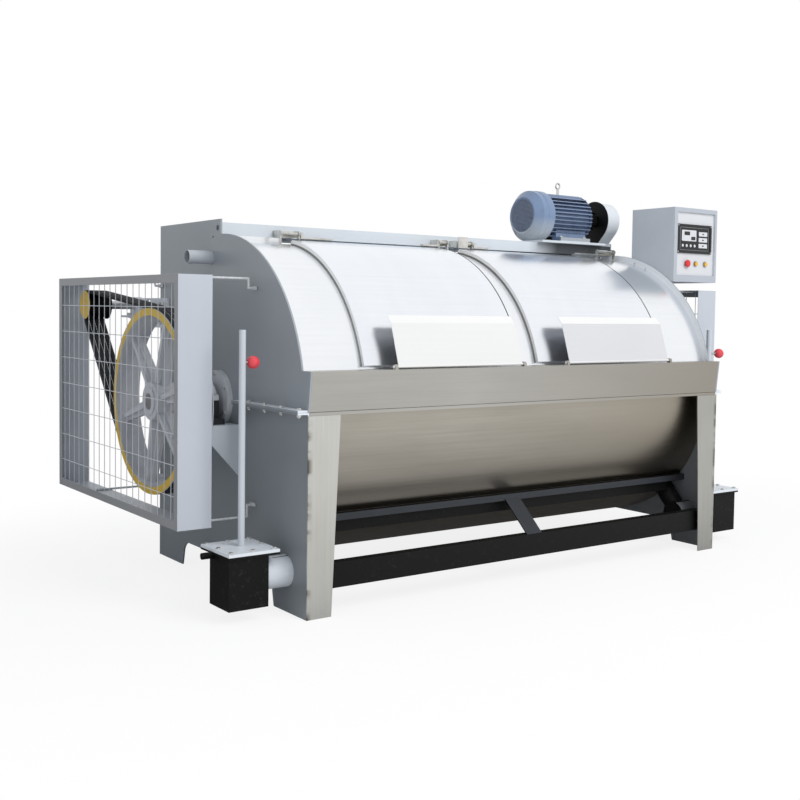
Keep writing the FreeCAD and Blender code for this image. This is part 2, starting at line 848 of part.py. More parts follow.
latches = [(latch_left_x, 1, latch_left_w, latch_long), (latch_mid_left_x, -1, latch_mid_left_w, latch_short)]
latches += [(latch_mid_right_x, 1, latch_mid_right_w, latch_short), (latch_right_x, -1, latch_right_w, latch_long)]
brackets = [latch_bracket(x, to, width) for x, to, width, length in latches]
plate_x = latch_mid_right_x - latch_mid_right_w
plate_y = -latch_y - latch_eye_r
latch_plate = box(plate_x, plate_x + latch_plate_w, plate_y - latch_cheek / 2, plate_y + latch_cheek / 2,
                  axis_z + door_r + latch_plate_gap, pin_z + latch_plate_rise)
brackets[2] = fuse(brackets[2], latch_plate)
save("latch_brackets", brackets)
for i, latch in enumerate(latches):
    save("latch_lever_%d" % (i + 1), latch_lever(*latch))

# Top beam, an inverted channel between the plates
beam = box(-x_in, x_in, 0, beam_depth, axis_z + beam_low, axis_z + beam_top)
hollow = box(-x_in - 1, x_in + 1, beam_t, beam_depth - beam_t, axis_z + beam_low - 1, axis_z + beam_top - beam_t)
foot_xs = (motor_foot_x0 + motor_bolt_in, motor_foot_x0 + motor_foot_len - motor_bolt_in)
foot_bolts = [(x, motor_y + s * motor_foot_half) for s in (-1, 1) for x in foot_xs]
foot_holes = [rod_z(x, y, axis_z + beam_top - 30, base_top + 60, bolt_hole_r) for x, y in foot_bolts]
save("top_beam", cut(beam, hollow, *foot_holes))

# Under frame: channel beam, tub support angle and tie
yb = -low_beam_y
zb = low_beam_z + low_beam_h
channel = box(-x_in, x_in, yb, yb + low_beam_w, low_beam_z, zb)
inner = box(-x_in - 1, x_in + 1, yb + low_beam_t, yb + low_beam_w + 1, low_beam_z + low_beam_t, zb - low_beam_t)
save("bottom_beam", cut(channel, inner))
shelf_leg = box(-x_in, x_in, -support_y, support_back, support_z - support_t, support_z)
lip = box(-x_in, x_in, -support_y, -support_y + support_t, support_z - support_lip, support_z)
tie_top = -(support_y + support_back * -1) / 2
tie = prism(-tie_w / 2, tie_w / 2, (yb + 4, zb), [(yb + 4 + tie_t, zb), (tie_top + tie_t, support_z - support_t),
            (tie_top, support_z - support_t)])
web_y = tie_top + tie_t + 1
web = box(support_web_in - x_in, x_in - support_web_in, web_y, web_y + support_t, support_z - support_web, support_z - support_t)
save("tub_support", fuse(shelf_leg, lip, web, tie))

# Bearing shelves with gussets
shelf_z = axis_z - shelf_drop
shelf = box(x_out, x_out + shelf_out, -shelf_half, shelf_half, shelf_z - shelf_t, shelf_z)
for y in (-shelf_half, shelf_half - gusset_t):
    tri = [V(x_out, y, shelf_z - shelf_t), V(x_out + shelf_out - 8, y, shelf_z - shelf_t)]
    tri += [V(x_out, y, shelf_z - shelf_t - gusset_h)]
    shelf = fuse(shelf, Part.Face(Part.makePolygon(tri + tri[:1])).extrude(V(0, gusset_t, 0)))
bx0 = x_out + block_x
bx1 = bx0 + block_w
base_bolts = [((bx0 + bx1) / 2, y) for y in (-block_base_half + 26, block_base_half - 26)]
base_holes = [rod_z(x, y, shelf_z - 40, shelf_z + 40, bolt_hole_r) for x, y in base_bolts]
seal_room = rod_x(x_out - 1, x_out + seal_t + screw_head + 3, 0, axis_z, seal_r + 1)
save("bearing_shelves", pair(cut(shelf, seal_room, *base_holes)))

# Bearing housings and caps
house = box(bx0, bx1, -block_base_half, block_base_half, shelf_z, shelf_z + block_base_t)
house = fuse(house, box(bx0, bx1, -block_half, block_half, shelf_z, split_low))
journal = rod_x(bx0 - 1, bx1 + 1, 0, axis_z, shaft_r + run_gap)
cap = rod_x(bx0, bx1, 0, axis_z, block_half * 0.82)
cap = fuse(cap, box(bx0, bx1, -block_half, block_half, split_high, split_high + 24)).common(half_high)
cap_points = [(x, y) for x in (bx0 + 24, bx1 - 24) for y in (-cap_bolt_y - 8, cap_bolt_y + 8)]
cap_holes = [rod_z(x, y, split_low - 30, split_high + 60, screw_r + screw_gap) for x, y in cap_points]
save("bearing_housings", pair(cut(house, journal, *base_holes, *cap_holes)))
save("bearing_caps", pair(cut(cap, journal, *cap_holes)))

# Shaft seals on the plates
seal = rod_x(x_out, x_out + seal_t, 0, axis_z, seal_r)
seal_bore = rod_x(x_out - 1, x_out + seal_t + 1, 0, axis_z, shaft_r + seal_gap)
save("shaft_seals", pair(cut(seal, seal_bore, *seal_holes)))

# Hexagon screws: seals, caps, bearing bases, drain lids, brackets, control box, motor feet
screws = []
for y, z in seal_points:
    s = rod_x(x_in, x_out + seal_t, y, axis_z + z, screw_r)
    screws += pair(fuse(s, hexagon(V(x_out + seal_t, y, axis_z + z), V(1, 0, 0), screw_af, screw_head)))
for x, y in cap_points:
    s = rod_z(x, y, split_low - 30, split_high + 24, screw_r)
    screws += pair(fuse(s, hexagon(V(x, y, split_high + 24), V(0, 0, 1), screw_af, screw_head)))
for x, y in base_bolts:
    z1 = shelf_z + block_base_t
    s = fuse(rod_z(x, y, shelf_z - shelf_t - nut_h - 3, z1, bolt_r), hexagon(V(x, y, z1), V(0, 0, 1), bolt_af, head_h))
    bolts += pair(fuse(s, hexagon(V(x, y, shelf_z - shelf_t - nut_h), V(0, 0, 1), bolt_af, nut_h)))
for y, z in bracket_points:
    s = rod_x(x_in, x_out + bracket_t, y, axis_z + z, screw_r)
    head = hexagon(V(x_out + bracket_t, y, axis_z + z), V(1, 0, 0), screw_af, screw_head)
    screws.append(mirror(fuse(s, head)))
    screws.append(s)
for y, z in box_points:
    s = rod_x(x_in, x_out + box_t, y, z, screw_r)
    screws.append(fuse(s, hexagon(V(x_out + box_t, y, z), V(1, 0, 0), screw_af, screw_head)))
for x, y in foot_bolts:
    z1 = base_top + motor_foot_t
    z0 = axis_z + beam_top - beam_t
    s = fuse(rod_z(x, y, z0 - nut_h, z1, bolt_r), hexagon(V(x, y, z1), V(0, 0, 1), bolt_af, head_h))
    bolts.append(fuse(s, hexagon(V(x, y, z0 - nut_h), V(0, 0, 1), bolt_af, nut_h)))
lid_xs = [-x_out - lid_out + lid_edge, -x_out - (lid_out + lid_in) / 2, -x_out - lid_in - lid_edge]
lid_ys = [-lid_front + lid_edge, -(lid_front + lid_rear) / 2, -lid_rear - lid_edge]
lid_points = [(x, y) for x in lid_xs for y in lid_ys if (x, y) != (lid_xs[1], lid_ys[1])]
lid_holes = [rod_z(x, y, drain_box_top - drain_rim_t - 1, lid_z + 1, screw_r + screw_gap) for x, y in lid_points]
for x, y in lid_points:
    s = rod_z(x, y, drain_box_top - drain_rim_t, lid_z, screw_r)
    screws += pair(fuse(s, hexagon(V(x, y, lid_z), V(0, 0, 1), screw_af, screw_head)))
save("bolts_and_nuts", bolts)
save("screws", screws)

# Drum with its lifters and the guides of its doors
shell = rod_x(-drum_half, drum_half, 0, axis_z, drum_r)
shell = cut(shell, rod_x(-drum_half - 1, drum_half + 1, 0, axis_z, drum_r - drum_wall))
inner_r = drum_r - drum_wall
slide_r1 = inner_r - drum_door_gap
slide_r0 = slide_r1 - drum_door_t
for s in (-1, 1):
    c = s * drum_door_x
    h = drum_door_len / 2
    hole = arc_strip(inner_r - 60, drum_r + 20, drum_door_low, drum_door_high, c - h, c + h)
    shell = cut(shell, hole)
    side = h + drum_door_side + guide_gap
    for x0, x1, l0, l1 in ((c + side, c + side + guide_w, c + side - guide_lip, c + side + guide_w),
                           (c - side - guide_w, c - side, c - side - guide_w, c - side + guide_lip)):
        a0 = drum_door_low - drum_door_lap - 2
        a1 = a0 + guide_angle
        rail = arc_strip(slide_r0 - 6, inner_r + 1, a0, a1, x0, x1)
        lip = arc_strip(slide_r0 - 6, slide_r0 - guide_run, a0, a1, l0, l1)
        shell = fuse(shell, rail, lip)
for i in range(3):
    a = lifter_first + lifter_step * i
    root = inner_r + 1
    wedge = prism(-drum_half, drum_half, polar(root, a - lifter_half_angle),
                  [polar(inner_r - lifter_h, a - 1), polar(inner_r - lifter_h, a + 1), polar(root, a + lifter_half_angle)])
    shell = fuse(shell, wedge.common(rod_x(-drum_half, drum_half, 0, axis_z, inner_r + 1)))
save("drum_shell", shell)
end = rod_x(drum_half, drum_half + drum_end_t, 0, axis_z, drum_r)
save("drum_ends", pair(end))


# Sliding doors of the drum, inside its shell
def drum_door(c):
    h = drum_door_len / 2 + drum_door_side
    plate = arc_strip(slide_r0, slide_r1, drum_door_low - drum_door_lap, drum_door_high + drum_door_lap, c - h, c + h)
    y, z = polar(1, drum_door_low + 6)
    out = V(0, y, z - axis_z)
    grips = []
    for x in (c - finger_half, c + finger_half):
        grips.append(Part.makeCylinder(finger_r, drum_r, V(x, 0, axis_z), out))
    return cut(plate, *grips)


save("drum_door_left", drum_door(-drum_door_x))
save("drum_door_right", drum_door(drum_door_x))

# Stub shafts
hub_x1 = x_out + rim_x + rim_w + hub_out
hub_x0 = x_out + rim_x - 2
disc_x = drum_half + drum_end_t
stub = rod_x(disc_x, disc_x + shaft_flange_t, 0, axis_z, shaft_flange_r)
stub = fuse(stub, rod_x(disc_x + shaft_flange_t, disc_x + shaft_flange_t + shaft_root_len, 0, axis_z, shaft_root_r))
stub = fuse(stub, rod_x(disc_x + shaft_flange_t, hub_x0, 0, axis_z, shaft_r))
stub = fuse(stub, rod_x(disc_x + shaft_flange_t, hub_x1, 0, axis_z, shaft_end_r))
save("drum_shafts", pair(stub))

# Big spoked pulleys
rim_x0 = x_out + rim_x
rim_x1 = rim_x0 + rim_w
rim_mid = (rim_x0 + rim_x1) / 2
rim = cut(rod_x(rim_x0, rim_x1, 0, axis_z, pulley_r), rod_x(rim_x0 - 1, rim_x1 + 1, 0, axis_z, pulley_r - rim_t))
wheel = [rim, rod_x(hub_x0, hub_x1, 0, axis_z, hub_r)]
wheel.append(rod_x(rim_x0 + hub_boss_in, rim_x1 - hub_boss_in, 0, axis_z, hub_boss_r))
for i in range(spoke_n):
    r0 = hub_r * 0.8
    r1 = pulley_r - rim_t + 3
    flat = [V(0, -spoke_root_w / 2, r0), V(0, spoke_root_w / 2, r0), V(0, spoke_tip_w / 2, r1), V(0, -spoke_tip_w / 2, r1)]
    arm = Part.Face(Part.makePolygon(flat + flat[:1])).extrude(V(spoke_t, 0, 0))
    arm.translate(V(-spoke_t / 2, 0, 0))
    h0 = spoke_rib_root / 2
    h1 = spoke_rib_tip / 2
    tall = [V(-h0, 0, r0), V(h0, 0, r0), V(h1, 0, r1), V(-h1, 0, r1)]
    rib = Part.Face(Part.makePolygon(tall + tall[:1])).extrude(V(0, spoke_rib_w, 0))
    rib.translate(V(0, -spoke_rib_w / 2, 0))
    arm = fuse(arm, rib)
    arm.rotate(V(0, 0, 0), V(1, 0, 0), spoke_turn + 360 / spoke_n * i)
    arm.translate(V(rim_mid, 0, axis_z))
    wheel.append(arm)
pulley = fuse(*wheel)
bore = rod_x(hub_x0 - 1, hub_x1 + 1, 0, axis_z, shaft_end_r)
pulley = cut(pulley, bore, *grooves(rim_mid, 0, axis_z, pulley_r, 4, groove_pitch))
save("big_pulleys", pair(pulley))

# Countershaft with its pulleys
save("countershaft", rod_x(-hub_x1, hub_x1, counter_y, counter_axis_z, counter_r))
cy = counter_y
cz = counter_axis_z
counter_bore = rod_x(-span, span, cy, cz, counter_r)
small = rod_x(rim_x0, rim_x1, cy, cz, small_r)
small = cut(small, counter_bore, *grooves(rim_mid, cy, cz, small_r, 4, groove_pitch))
cover_x0 = x_out + bracket_t + cover_back_t
drive_x0 = cover_x0 + drive_side_gap
drive_x1 = drive_x0 + drive_rim_w
drive_mid = (drive_x0 + drive_x1) / 2
driven = cut(rod_x(drive_x0, drive_x1, cy, cz, driven_r), rod_x(drive_x0 - 1, drive_x1 + 1, cy, cz, driven_r - driven_rim_t))
web = rod_x(drive_mid - driven_web_t / 2, drive_mid + driven_web_t / 2, cy, cz, driven_r - 5)
driven = fuse(driven, web, rod_x(drive_x0, drive_x1, cy, cz, driven_hub_r))
driven = cut(driven, counter_bore, *grooves(drive_mid, cy, cz, driven_r, 3, drive_pitch))
save("countershaft_pulleys", pair(small), driven)

# Countershaft brackets on the plates' rear edges
arm = box(x_out, x_out + bracket_t, bracket_front, bracket_rear, axis_z + bracket_low, axis_z + bracket_high)
arm = cut(arm, rod_x(x_out - 1, x_out + bracket_t + 1, cy, cz, bracket_hole_r), *bracket_holes)
unit_z = cz - unit_h
shelf_low = unit_z - counter_shelf_t


def counter_shelf(x0, x1, wall):
    top = box(x0, x1, counter_shelf_front, bracket_rear, shelf_low, unit_z)
    tip = x1 if wall == x0 else x0
    tri = [V(wall, cy - 5, shelf_low), V(tip, cy - 5, shelf_low), V(wall, cy - 5, axis_z + bracket_low)]
    return fuse(top, Part.Face(Part.makePolygon(tri + tri[:1])).extrude(V(0, 10, 0)))


left_wall = -x_out - bracket_t
left_bracket = fuse(mirror(arm), counter_shelf(left_wall - counter_shelf_w, left_wall, left_wall))
right_bracket = fuse(arm, counter_shelf(x_out - counter_shelf_w, x_out, x_out))
save("countershaft_brackets", [left_bracket, right_bracket])


def bearing_unit(x):
    foot = box(x - unit_half_w, x + unit_half_w, cy - unit_half_y, cy + unit_half_y, unit_z, unit_z + unit_base_t)
    body = box(x - unit_half_w, x + unit_half_w, cy - unit_r * 0.85, cy + unit_r * 0.85, unit_z, cz)
    ring = rod_x(x - unit_half_w, x + unit_half_w, cy, cz, unit_r)
    return cut(fuse(foot, body, ring), rod_x(x - 40, x + 40, cy, cz, counter_r + run_gap))


save("countershaft_bearings", [bearing_unit(left_wall - unit_x), bearing_unit(x_out - unit_x)])

# Motor base plate and motor
base_low = base_top - motor_pad_t
plate = box(motor_base_x0, motor_base_x1, -motor_base_over, beam_depth + motor_base_over, axis_z + beam_top, base_low)
for s in (-1, 1):
    yc = motor_y + s * motor_foot_half
    x1 = motor_foot_x0 + motor_foot_len
    plate = fuse(plate, box(motor_foot_x0, x1, yc - motor_foot_w / 2, yc + motor_foot_w / 2, base_low - 1, base_top))
save("motor_base_plate", cut(plate, *foot_holes))
fan_x1 = motor_fan_x + motor_fan_len
fin_x0 = fan_x1 - 6
fins = [rod_x(fin_x0, motor_stator_x1, motor_y, motor_z, motor_core_r)]
envelope = rod_x(fin_x0, motor_stator_x1, motor_y, motor_z, motor_fin_r)
half_t = motor_fin_t / 2
for i in range(motor_fin_n):
    z = motor_z + (i - (motor_fin_n - 1) / 2) * motor_fin_pitch
    bar = box(fin_x0, motor_stator_x1, motor_y - motor_fin_r, motor_y + motor_fin_r, z - half_t, z + half_t)
    fins.append(bar.common(envelope))
for i in range(motor_top_fin_n):
    y = motor_y + (i - (motor_top_fin_n - 1) / 2) * motor_fin_pitch
    bar = box(fin_x0, motor_stator_x1, y - half_t, y + half_t, motor_z, motor_z + motor_fin_r)
    fins.append(bar.common(envelope))
fins = fuse(*fins)
nose = Part.makeCone(motor_fin_r - 4, motor_nose_r, motor_nose_x - motor_stator_x1, V(motor_stator_x1, motor_y, motor_z), V(1, 0, 0))
neck = rod_x(motor_nose_x, motor_shoulder_x, motor_y, motor_z, motor_shoulder_r)
spigot = rod_x(fan_x1 - 10, fan_x1, motor_y, motor_z, motor_fan_r - motor_sheet)
motor = fuse(fins, nose, neck, spigot)
for s in (-1, 1):
    yc = motor_y + s * motor_foot_half
    x1 = motor_foot_x0 + motor_foot_len
    motor = fuse(motor, box(motor_foot_x0, x1, yc - motor_foot_w / 2, yc + motor_foot_w / 2, base_top, base_top + motor_foot_t))
    y0, y1 = sorted((yc - s * 16, motor_y + s * motor_web_in))
    motor = fuse(motor, box(motor_foot_x0, x1, y0, y1, base_top, base_top + motor_web_h))
motor = cut(motor, rod_x(fan_x1 - 20, motor_shoulder_x + 1, motor_y, motor_z, motor_shaft_r + run_gap), *foot_holes)
eye_z = motor_z + motor_fin_r + eye_stem + eye_r
eye_ring = Part.makeTorus(eye_r, eye_bar_r, V(eye_x, motor_y, eye_z), V(0, 1, 0))
stem = rod_z(eye_x, motor_y, motor_z + motor_fin_r, eye_z - eye_r + 2, eye_bar_r + 4)
term_y = motor_y + motor_fin_r + 0.2
term = box(eye_x - terminal_len / 2, eye_x + terminal_len / 2, term_y, term_y + terminal_d, motor_z - terminal_h / 2, motor_z + terminal_h / 2)
save("motor_body", motor, fuse(eye_ring, stem), term)
slope_x = motor_fan_x + motor_slope
fan_axis = V(motor_fan_x, motor_y, motor_z)
cup = Part.makeCone(motor_face_r, motor_fan_r, motor_slope, fan_axis, V(1, 0, 0))
cup = fuse(cup, rod_x(slope_x, fan_x1, motor_y, motor_z, motor_fan_r))
skin = motor_sheet
cup_in = Part.makeCone(motor_face_r - skin, motor_fan_r - skin, motor_slope, fan_axis + V(skin, 0, 0), V(1, 0, 0))
cup_in = fuse(cup_in, rod_x(slope_x + skin, fan_x1 + 1, motor_y, motor_z, motor_fan_r - skin))
cup = cut(cup, cup_in)
grille = []
for r, n in ((22, 6), (46, 14), (70, 20), (88, 28)):
    for i in range(n):
        t = 2 * math.pi * i / n
        y = motor_y + r * math.cos(t)
        z = motor_z + r * math.sin(t)
        grille.append(rod_x(motor_fan_x - 1, motor_fan_x + motor_sheet + 1, y, z, 7))
save("motor_fan_cover", cut(cup, *grille))
fan = rod_x(motor_fan_x + 44, motor_fan_x + 50, motor_y, motor_z, motor_core_r)
rotor = fuse(rod_x(motor_fan_x + 16, drive_x1, motor_y, motor_z, motor_shaft_r), fan)
for i in range(6):
    blade = box(motor_fan_x + 49, motor_fan_x + 74, motor_y - 2, motor_y + 2, motor_z + motor_shaft_r - 2, motor_z + motor_core_r)
    blade.rotate(V(0, motor_y, motor_z), V(1, 0, 0), 60 * i)
    rotor = fuse(rotor, blade)
save("motor_rotor", rotor)
mp = fuse(rod_x(drive_x0, drive_x1, motor_y, motor_z, motor_pulley_r), rod_x(motor_hub_x, drive_x0, motor_y, motor_z, motor_hub_r))
mp = cut(mp, rod_x(motor_hub_x - 1, drive_x1 + 1, motor_y, motor_z, motor_shaft_r))
save("motor_pulley", cut(mp, *grooves(drive_mid, motor_y, motor_z, motor_pulley_r, 3, drive_pitch)))

# Belts: four at each end of the drum, three from the motor
belts = []
for i in range(4):
    x = rim_mid + (i - 1.5) * groove_pitch
    belts += pair(v_belt(x, (0, axis_z), pulley_r, (cy, cz), small_r))
for i in range(3):
    x = drive_mid + (i - 1) * drive_pitch
    belts.append(v_belt(x, (motor_y, motor_z), motor_pulley_r, (cy, cz), driven_r))
save("belts", belts)

# Belt cover and its back plate
cover_x1 = cover_x0 + cover_depth
at_motor = (motor_y, motor_z)
outer = Part.Face(belt_wire(cover_x0, at_motor, cover_motor_r, (cy, cz), cover_counter_r)[0])
inside = Part.Face(belt_wire(cover_x0, at_motor, cover_motor_r - cover_t, (cy, cz), cover_counter_r - cover_t)[0])
cover = cut(outer.extrude(V(cover_depth, 0, 0)), inside.extrude(V(cover_depth - cover_t, 0, 0)))
save("belt_cover", cut(cover, rod_x(cover_x1 - 10, cover_x1 + 1, cy, cz, cover_hole_r)))
rim_m = cover_motor_r + cover_back_lip
rim_c = cover_counter_r + cover_back_lip
back = Part.Face(belt_wire(cover_x0 - cover_back_t, at_motor, rim_m, (cy, cz), rim_c)[0]).extrude(V(cover_back_t, 0, 0))
back = cut(back, rod_x(cover_x0 - 20, cover_x0 + 1, cy, cz, cover_hole_r))
save("belt_cover_back", cut(back, rod_x(cover_x0 - 20, cover_x0 + 1, motor_y, motor_z, cover_motor_hole_r)))

# Guards: sheet frames, wire nets, rods and wing nuts
gx1 = x_out + guard_out
gx0 = gx1 - guard_depth
frame = box(gx0, gx1, -guard_front, guard_rear, guard_low, guard_high)
room = box(gx0 - 1, gx1 - guard_t, -guard_front + guard_t, guard_rear - guard_t, guard_low + guard_t, guard_high - guard_t)
b = guard_border
window = box(gx0, gx1 + 1, -guard_front + b, guard_rear - b, guard_low + b, guard_high - b)
save("guard_frames", pair(cut(frame, room, window)))
ny0 = -guard_front + guard_t + mesh_gap
ny1 = guard_rear - guard_t - mesh_gap
nz0 = guard_low + guard_t + mesh_gap
nz1 = guard_high - guard_t - mesh_gap
nx = gx1 - guard_t - mesh_gap - mesh_t
step_y = (ny1 - ny0 - mesh_t) / mesh_cols
step_z = (nz1 - nz0 - mesh_t) / mesh_rows
wires = [outline(nx, (ny0, nz0), [(ny1, nz0), (ny1, nz1), (ny0, nz1)])]
for i in range(mesh_cols):
    for j in range(mesh_rows):
        y0 = ny0 + mesh_t + i * step_y
        z0 = nz0 + mesh_t + j * step_z
        y1 = y0 + step_y - mesh_t
        z1 = z0 + step_z - mesh_t
        wires.append(outline(nx, (y0, z0), [(y1, z0), (y1, z1), (y0, z1)]))
net = Part.Face(wires, "Part::FaceMakerBullseye").extrude(V(mesh_t, 0, 0))
save("guard_meshes", pair(net))
fittings = []


def hanger(side, y, z, gy, gz):
    path = [V(gx0 + rod_lap, gy, gz), V(x_out + rod_bend, gy, gz), V(x_out + rod_bend, y, z), V(x_in, y, z)]
    nut = rod_x(x_out, x_out + wing_l, y, z, wing_r)
    nut = fuse(nut, box(x_out + 4, x_out + 8, y - wing_span, y + wing_span, z - 7, z + 7))
    for s in (bent_rod(path, rod_r), cut(nut, rod_x(x_out - 1, x_out + 30, y, z, rod_r))):
        fittings.append(s if side > 0 else mirror(s))


rod_high = guard_high - guard_t - rod_r
rod_low = guard_low + guard_t + rod_r
for side in (-1, 1):
    hanger(side, -stud_front_y, stud_top_z, -rod_front_y, rod_high)
    hanger(side, -stud_front_y, stud_low_z, -rod_front_y, rod_low)
    hanger(side, plate_rear - stud_foot_in, stud_low_z, rod_rear_y, rod_low)
hanger(-1, stud_rear_y, stud_rear_z, rod_rear_y, rod_high)
hanger(1, stud_right_y, stud_top_z, stud_right_y, rod_high)
save("guard_rods", fittings)

# Water inlet on the left plate
pipe = rod_x(-x_out - inlet_out, -x_in + tub_wall, inlet_y, axis_z + inlet_z, inlet_r)
bore = rod_x(-x_out - inlet_out - 1, -x_in + tub_wall + 1, inlet_y, axis_z + inlet_z, inlet_r - inlet_wall)
save("inlet_pipe", cut(pipe, bore))

# Drains: pipe with its branch to the tub, box, lid with sleeve, lifting handle
run = rod_x(x_in - drain_in, x_out + drain_box_in, -drain_y, drain_z, drain_r)
branch = Part.makeCylinder(branch_r, reach * 0.5, drain_start, to_axis)
run_in = rod_x(x_in - drain_in + drain_wall, x_out + drain_box_in + 1, -drain_y, drain_z, drain_r - drain_wall)
branch_in = Part.makeCylinder(branch_r - drain_wall, reach * 0.5, drain_start, to_axis)
tub_room = rod_x(-x_in, x_in, 0, axis_z, tub_low_r)
save("drain_pipes", pair(cut(fuse(run, branch), run_in, branch_in, tub_room)))
dx0 = x_out + drain_box_in
dx1 = x_out + drain_box_out
w = drain_box_wall
tank = box(dx0, dx1, -drain_box_front, -drain_box_rear, drain_box_low, drain_box_top)
rim = box(x_out + lid_in, x_out + lid_out, -lid_front, -lid_rear, drain_box_top - drain_rim_t, drain_box_top)
cavity = box(dx0 + w, dx1 - w, -drain_box_front + w, -drain_box_rear - w, drain_box_low + w, drain_box_top + 1)
inlet = rod_x(dx0 - 1, dx0 + w + 1, -drain_y, drain_z, drain_r - drain_wall)
plug_hole = rod_z(x_out + sleeve_x, -sleeve_y, drain_box_low - 1, drain_box_low + w + 1, plug_hole_r)
stub_y = -drain_box_rear - 30
stub = rod_x(dx1 - 1, dx1 + stub_len, stub_y, drain_box_top - stub_r - drain_rim_t + 6, stub_r)
tank = cut(fuse(tank, rim, stub), cavity, inlet, plug_hole)
tank = cut(tank, *[mirror(h) for h in lid_holes])
save("drain_boxes", pair(tank))
lid = box(x_out + lid_in, x_out + lid_out, -lid_front, -lid_rear, drain_box_top, lid_z)


def drain_lid(side):
    x = side * (x_out + sleeve_x)
    top = lid if side > 0 else mirror(lid)
    sleeve = rod_z(x, -sleeve_y, lid_z - 1, sleeve_top, sleeve_r)
    bore = rod_z(x, -sleeve_y, lid_z, sleeve_top + 1, sleeve_r - sleeve_wall)
    slot = box(x, x + sleeve_r + 5, -sleeve_y - slot_w / 2, -sleeve_y + slot_w / 2, slot_low, sleeve_top + 1)
    guide = rod_z(x, -sleeve_y, drain_box_top - 1, lid_z + 1, handle_rod_r + 1)
    holes = lid_holes if side < 0 else [mirror(h) for h in lid_holes]
    return cut(fuse(top, sleeve), bore, slot, guide, *holes)


save("drain_lids", [drain_lid(-1), drain_lid(1)])


def drain_handle(side):
    x = side * (x_out + sleeve_x)
    z0 = drain_box_low + w + plug_gap
    plug = rod_z(x, -sleeve_y, z0, z0 + plug_h, plug_r)
    stem = rod_z(x, -sleeve_y, z0, handle_z + handle_arm_r, handle_rod_r)
    ball_x = ball_right_x if side > 0 else ball_left_x
    arm = rod_x(x, x + ball_x - ball_r + 3, -sleeve_y, handle_z, handle_arm_r)
    ball = Part.makeSphere(ball_r, V(x + ball_x, -sleeve_y, handle_z))
    hole = rod_x(x, x + ball_x - ball_r + 3, -sleeve_y, handle_z, handle_arm_r)
    return [fuse(plug, stem, arm), cut(ball, hole)]


save("drain_handle_left", drain_handle(-1))
save("drain_handle_right", drain_handle(1))

# Control box, recessed panel, instrument and buttons
kx0 = x_out
kx1 = x_out + box_w
yf = -box_front
case = box(kx0, kx1, yf, -box_rear, box_low, box_high)
room = box(kx0 + box_t, kx1 - box_t, yf + box_t, -box_rear - box_t, box_low + box_t, box_high - box_t)
px0 = kx0 + panel_side
px1 = kx1 - panel_side_right
pz0 = box_low + panel_low_edge
pz1 = box_high - panel_high_edge
mouth = box(px0, px1, yf - 1, yf + box_t + 1, pz0, pz1)
tray = box(px0 - box_t, px1 + box_t, yf, yf + panel_in, pz0 - box_t, pz1 + box_t)
tray_in = box(px0, px1, yf - 1, yf + panel_in + 1, pz0, pz1)
shell = fuse(cut(case, room), tray)
save("control_box", cut(shell, tray_in, *box_holes))
yp = yf + panel_in
face = box(px0 - box_t, px1 + box_t, yp, yp + panel_plate_t, pz0 - box_t, pz1 + box_t)
buttons = [(kx0 + stop_x, "stop_button"), (kx0 + button1_x, "start_button"), (kx0 + button2_x, "jog_button")]
stem_holes = [rod_y(x, yp - 1, yp + panel_plate_t + 1, button_z, button_stem_r + stem_gap) for x, name in buttons]
save("control_panel", cut(face, *stem_holes))
meter = box(kx0 + unit_left, kx1 - unit_right, yp - unit_d, yp, unit_low_z, unit_high_z)
e = screen_edge
dial = box(kx0 + unit_left + e, kx1 - unit_right - e, yp - unit_d - 1, yp - unit_d + screen_in, unit_low_z + e, unit_high_z - e)
save("instrument", cut(meter, dial))
bezels = []
for x, name in buttons:
    ring = rod_y(x, yp - bezel_t, yp, button_z, bezel_r)
    r = button_stem_r + stem_gap if name == "stop_button" else button_r + button_gap
    bezels.append(cut(ring, rod_y(x, yp - bezel_t - 1, yp + 1, button_z, r)))
save("button_bezels", bezels)
for x, name in buttons:
    if name == "stop_button":
        y1 = yp - bezel_t - stop_lift
        knob = fuse(rod_y(x, y1 - stop_cap_t, y1, button_z, stop_r), rod_y(x, y1 - 1, yp + stem_len, button_z, button_stem_r))
    else:
        y1 = yp - bezel_t - button_out
        stem = rod_y(x, y1 + 1, yp + stem_len, button_z, button_stem_r)
        knob = fuse(rod_y(x, y1, yp - button_travel - button_gap, button_z, button_r), stem)
    save(name, knob)
print("shift", [round(v, 3) for v in shift])
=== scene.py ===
import math

import bmesh
import bpy
from mathutils import Matrix, Vector


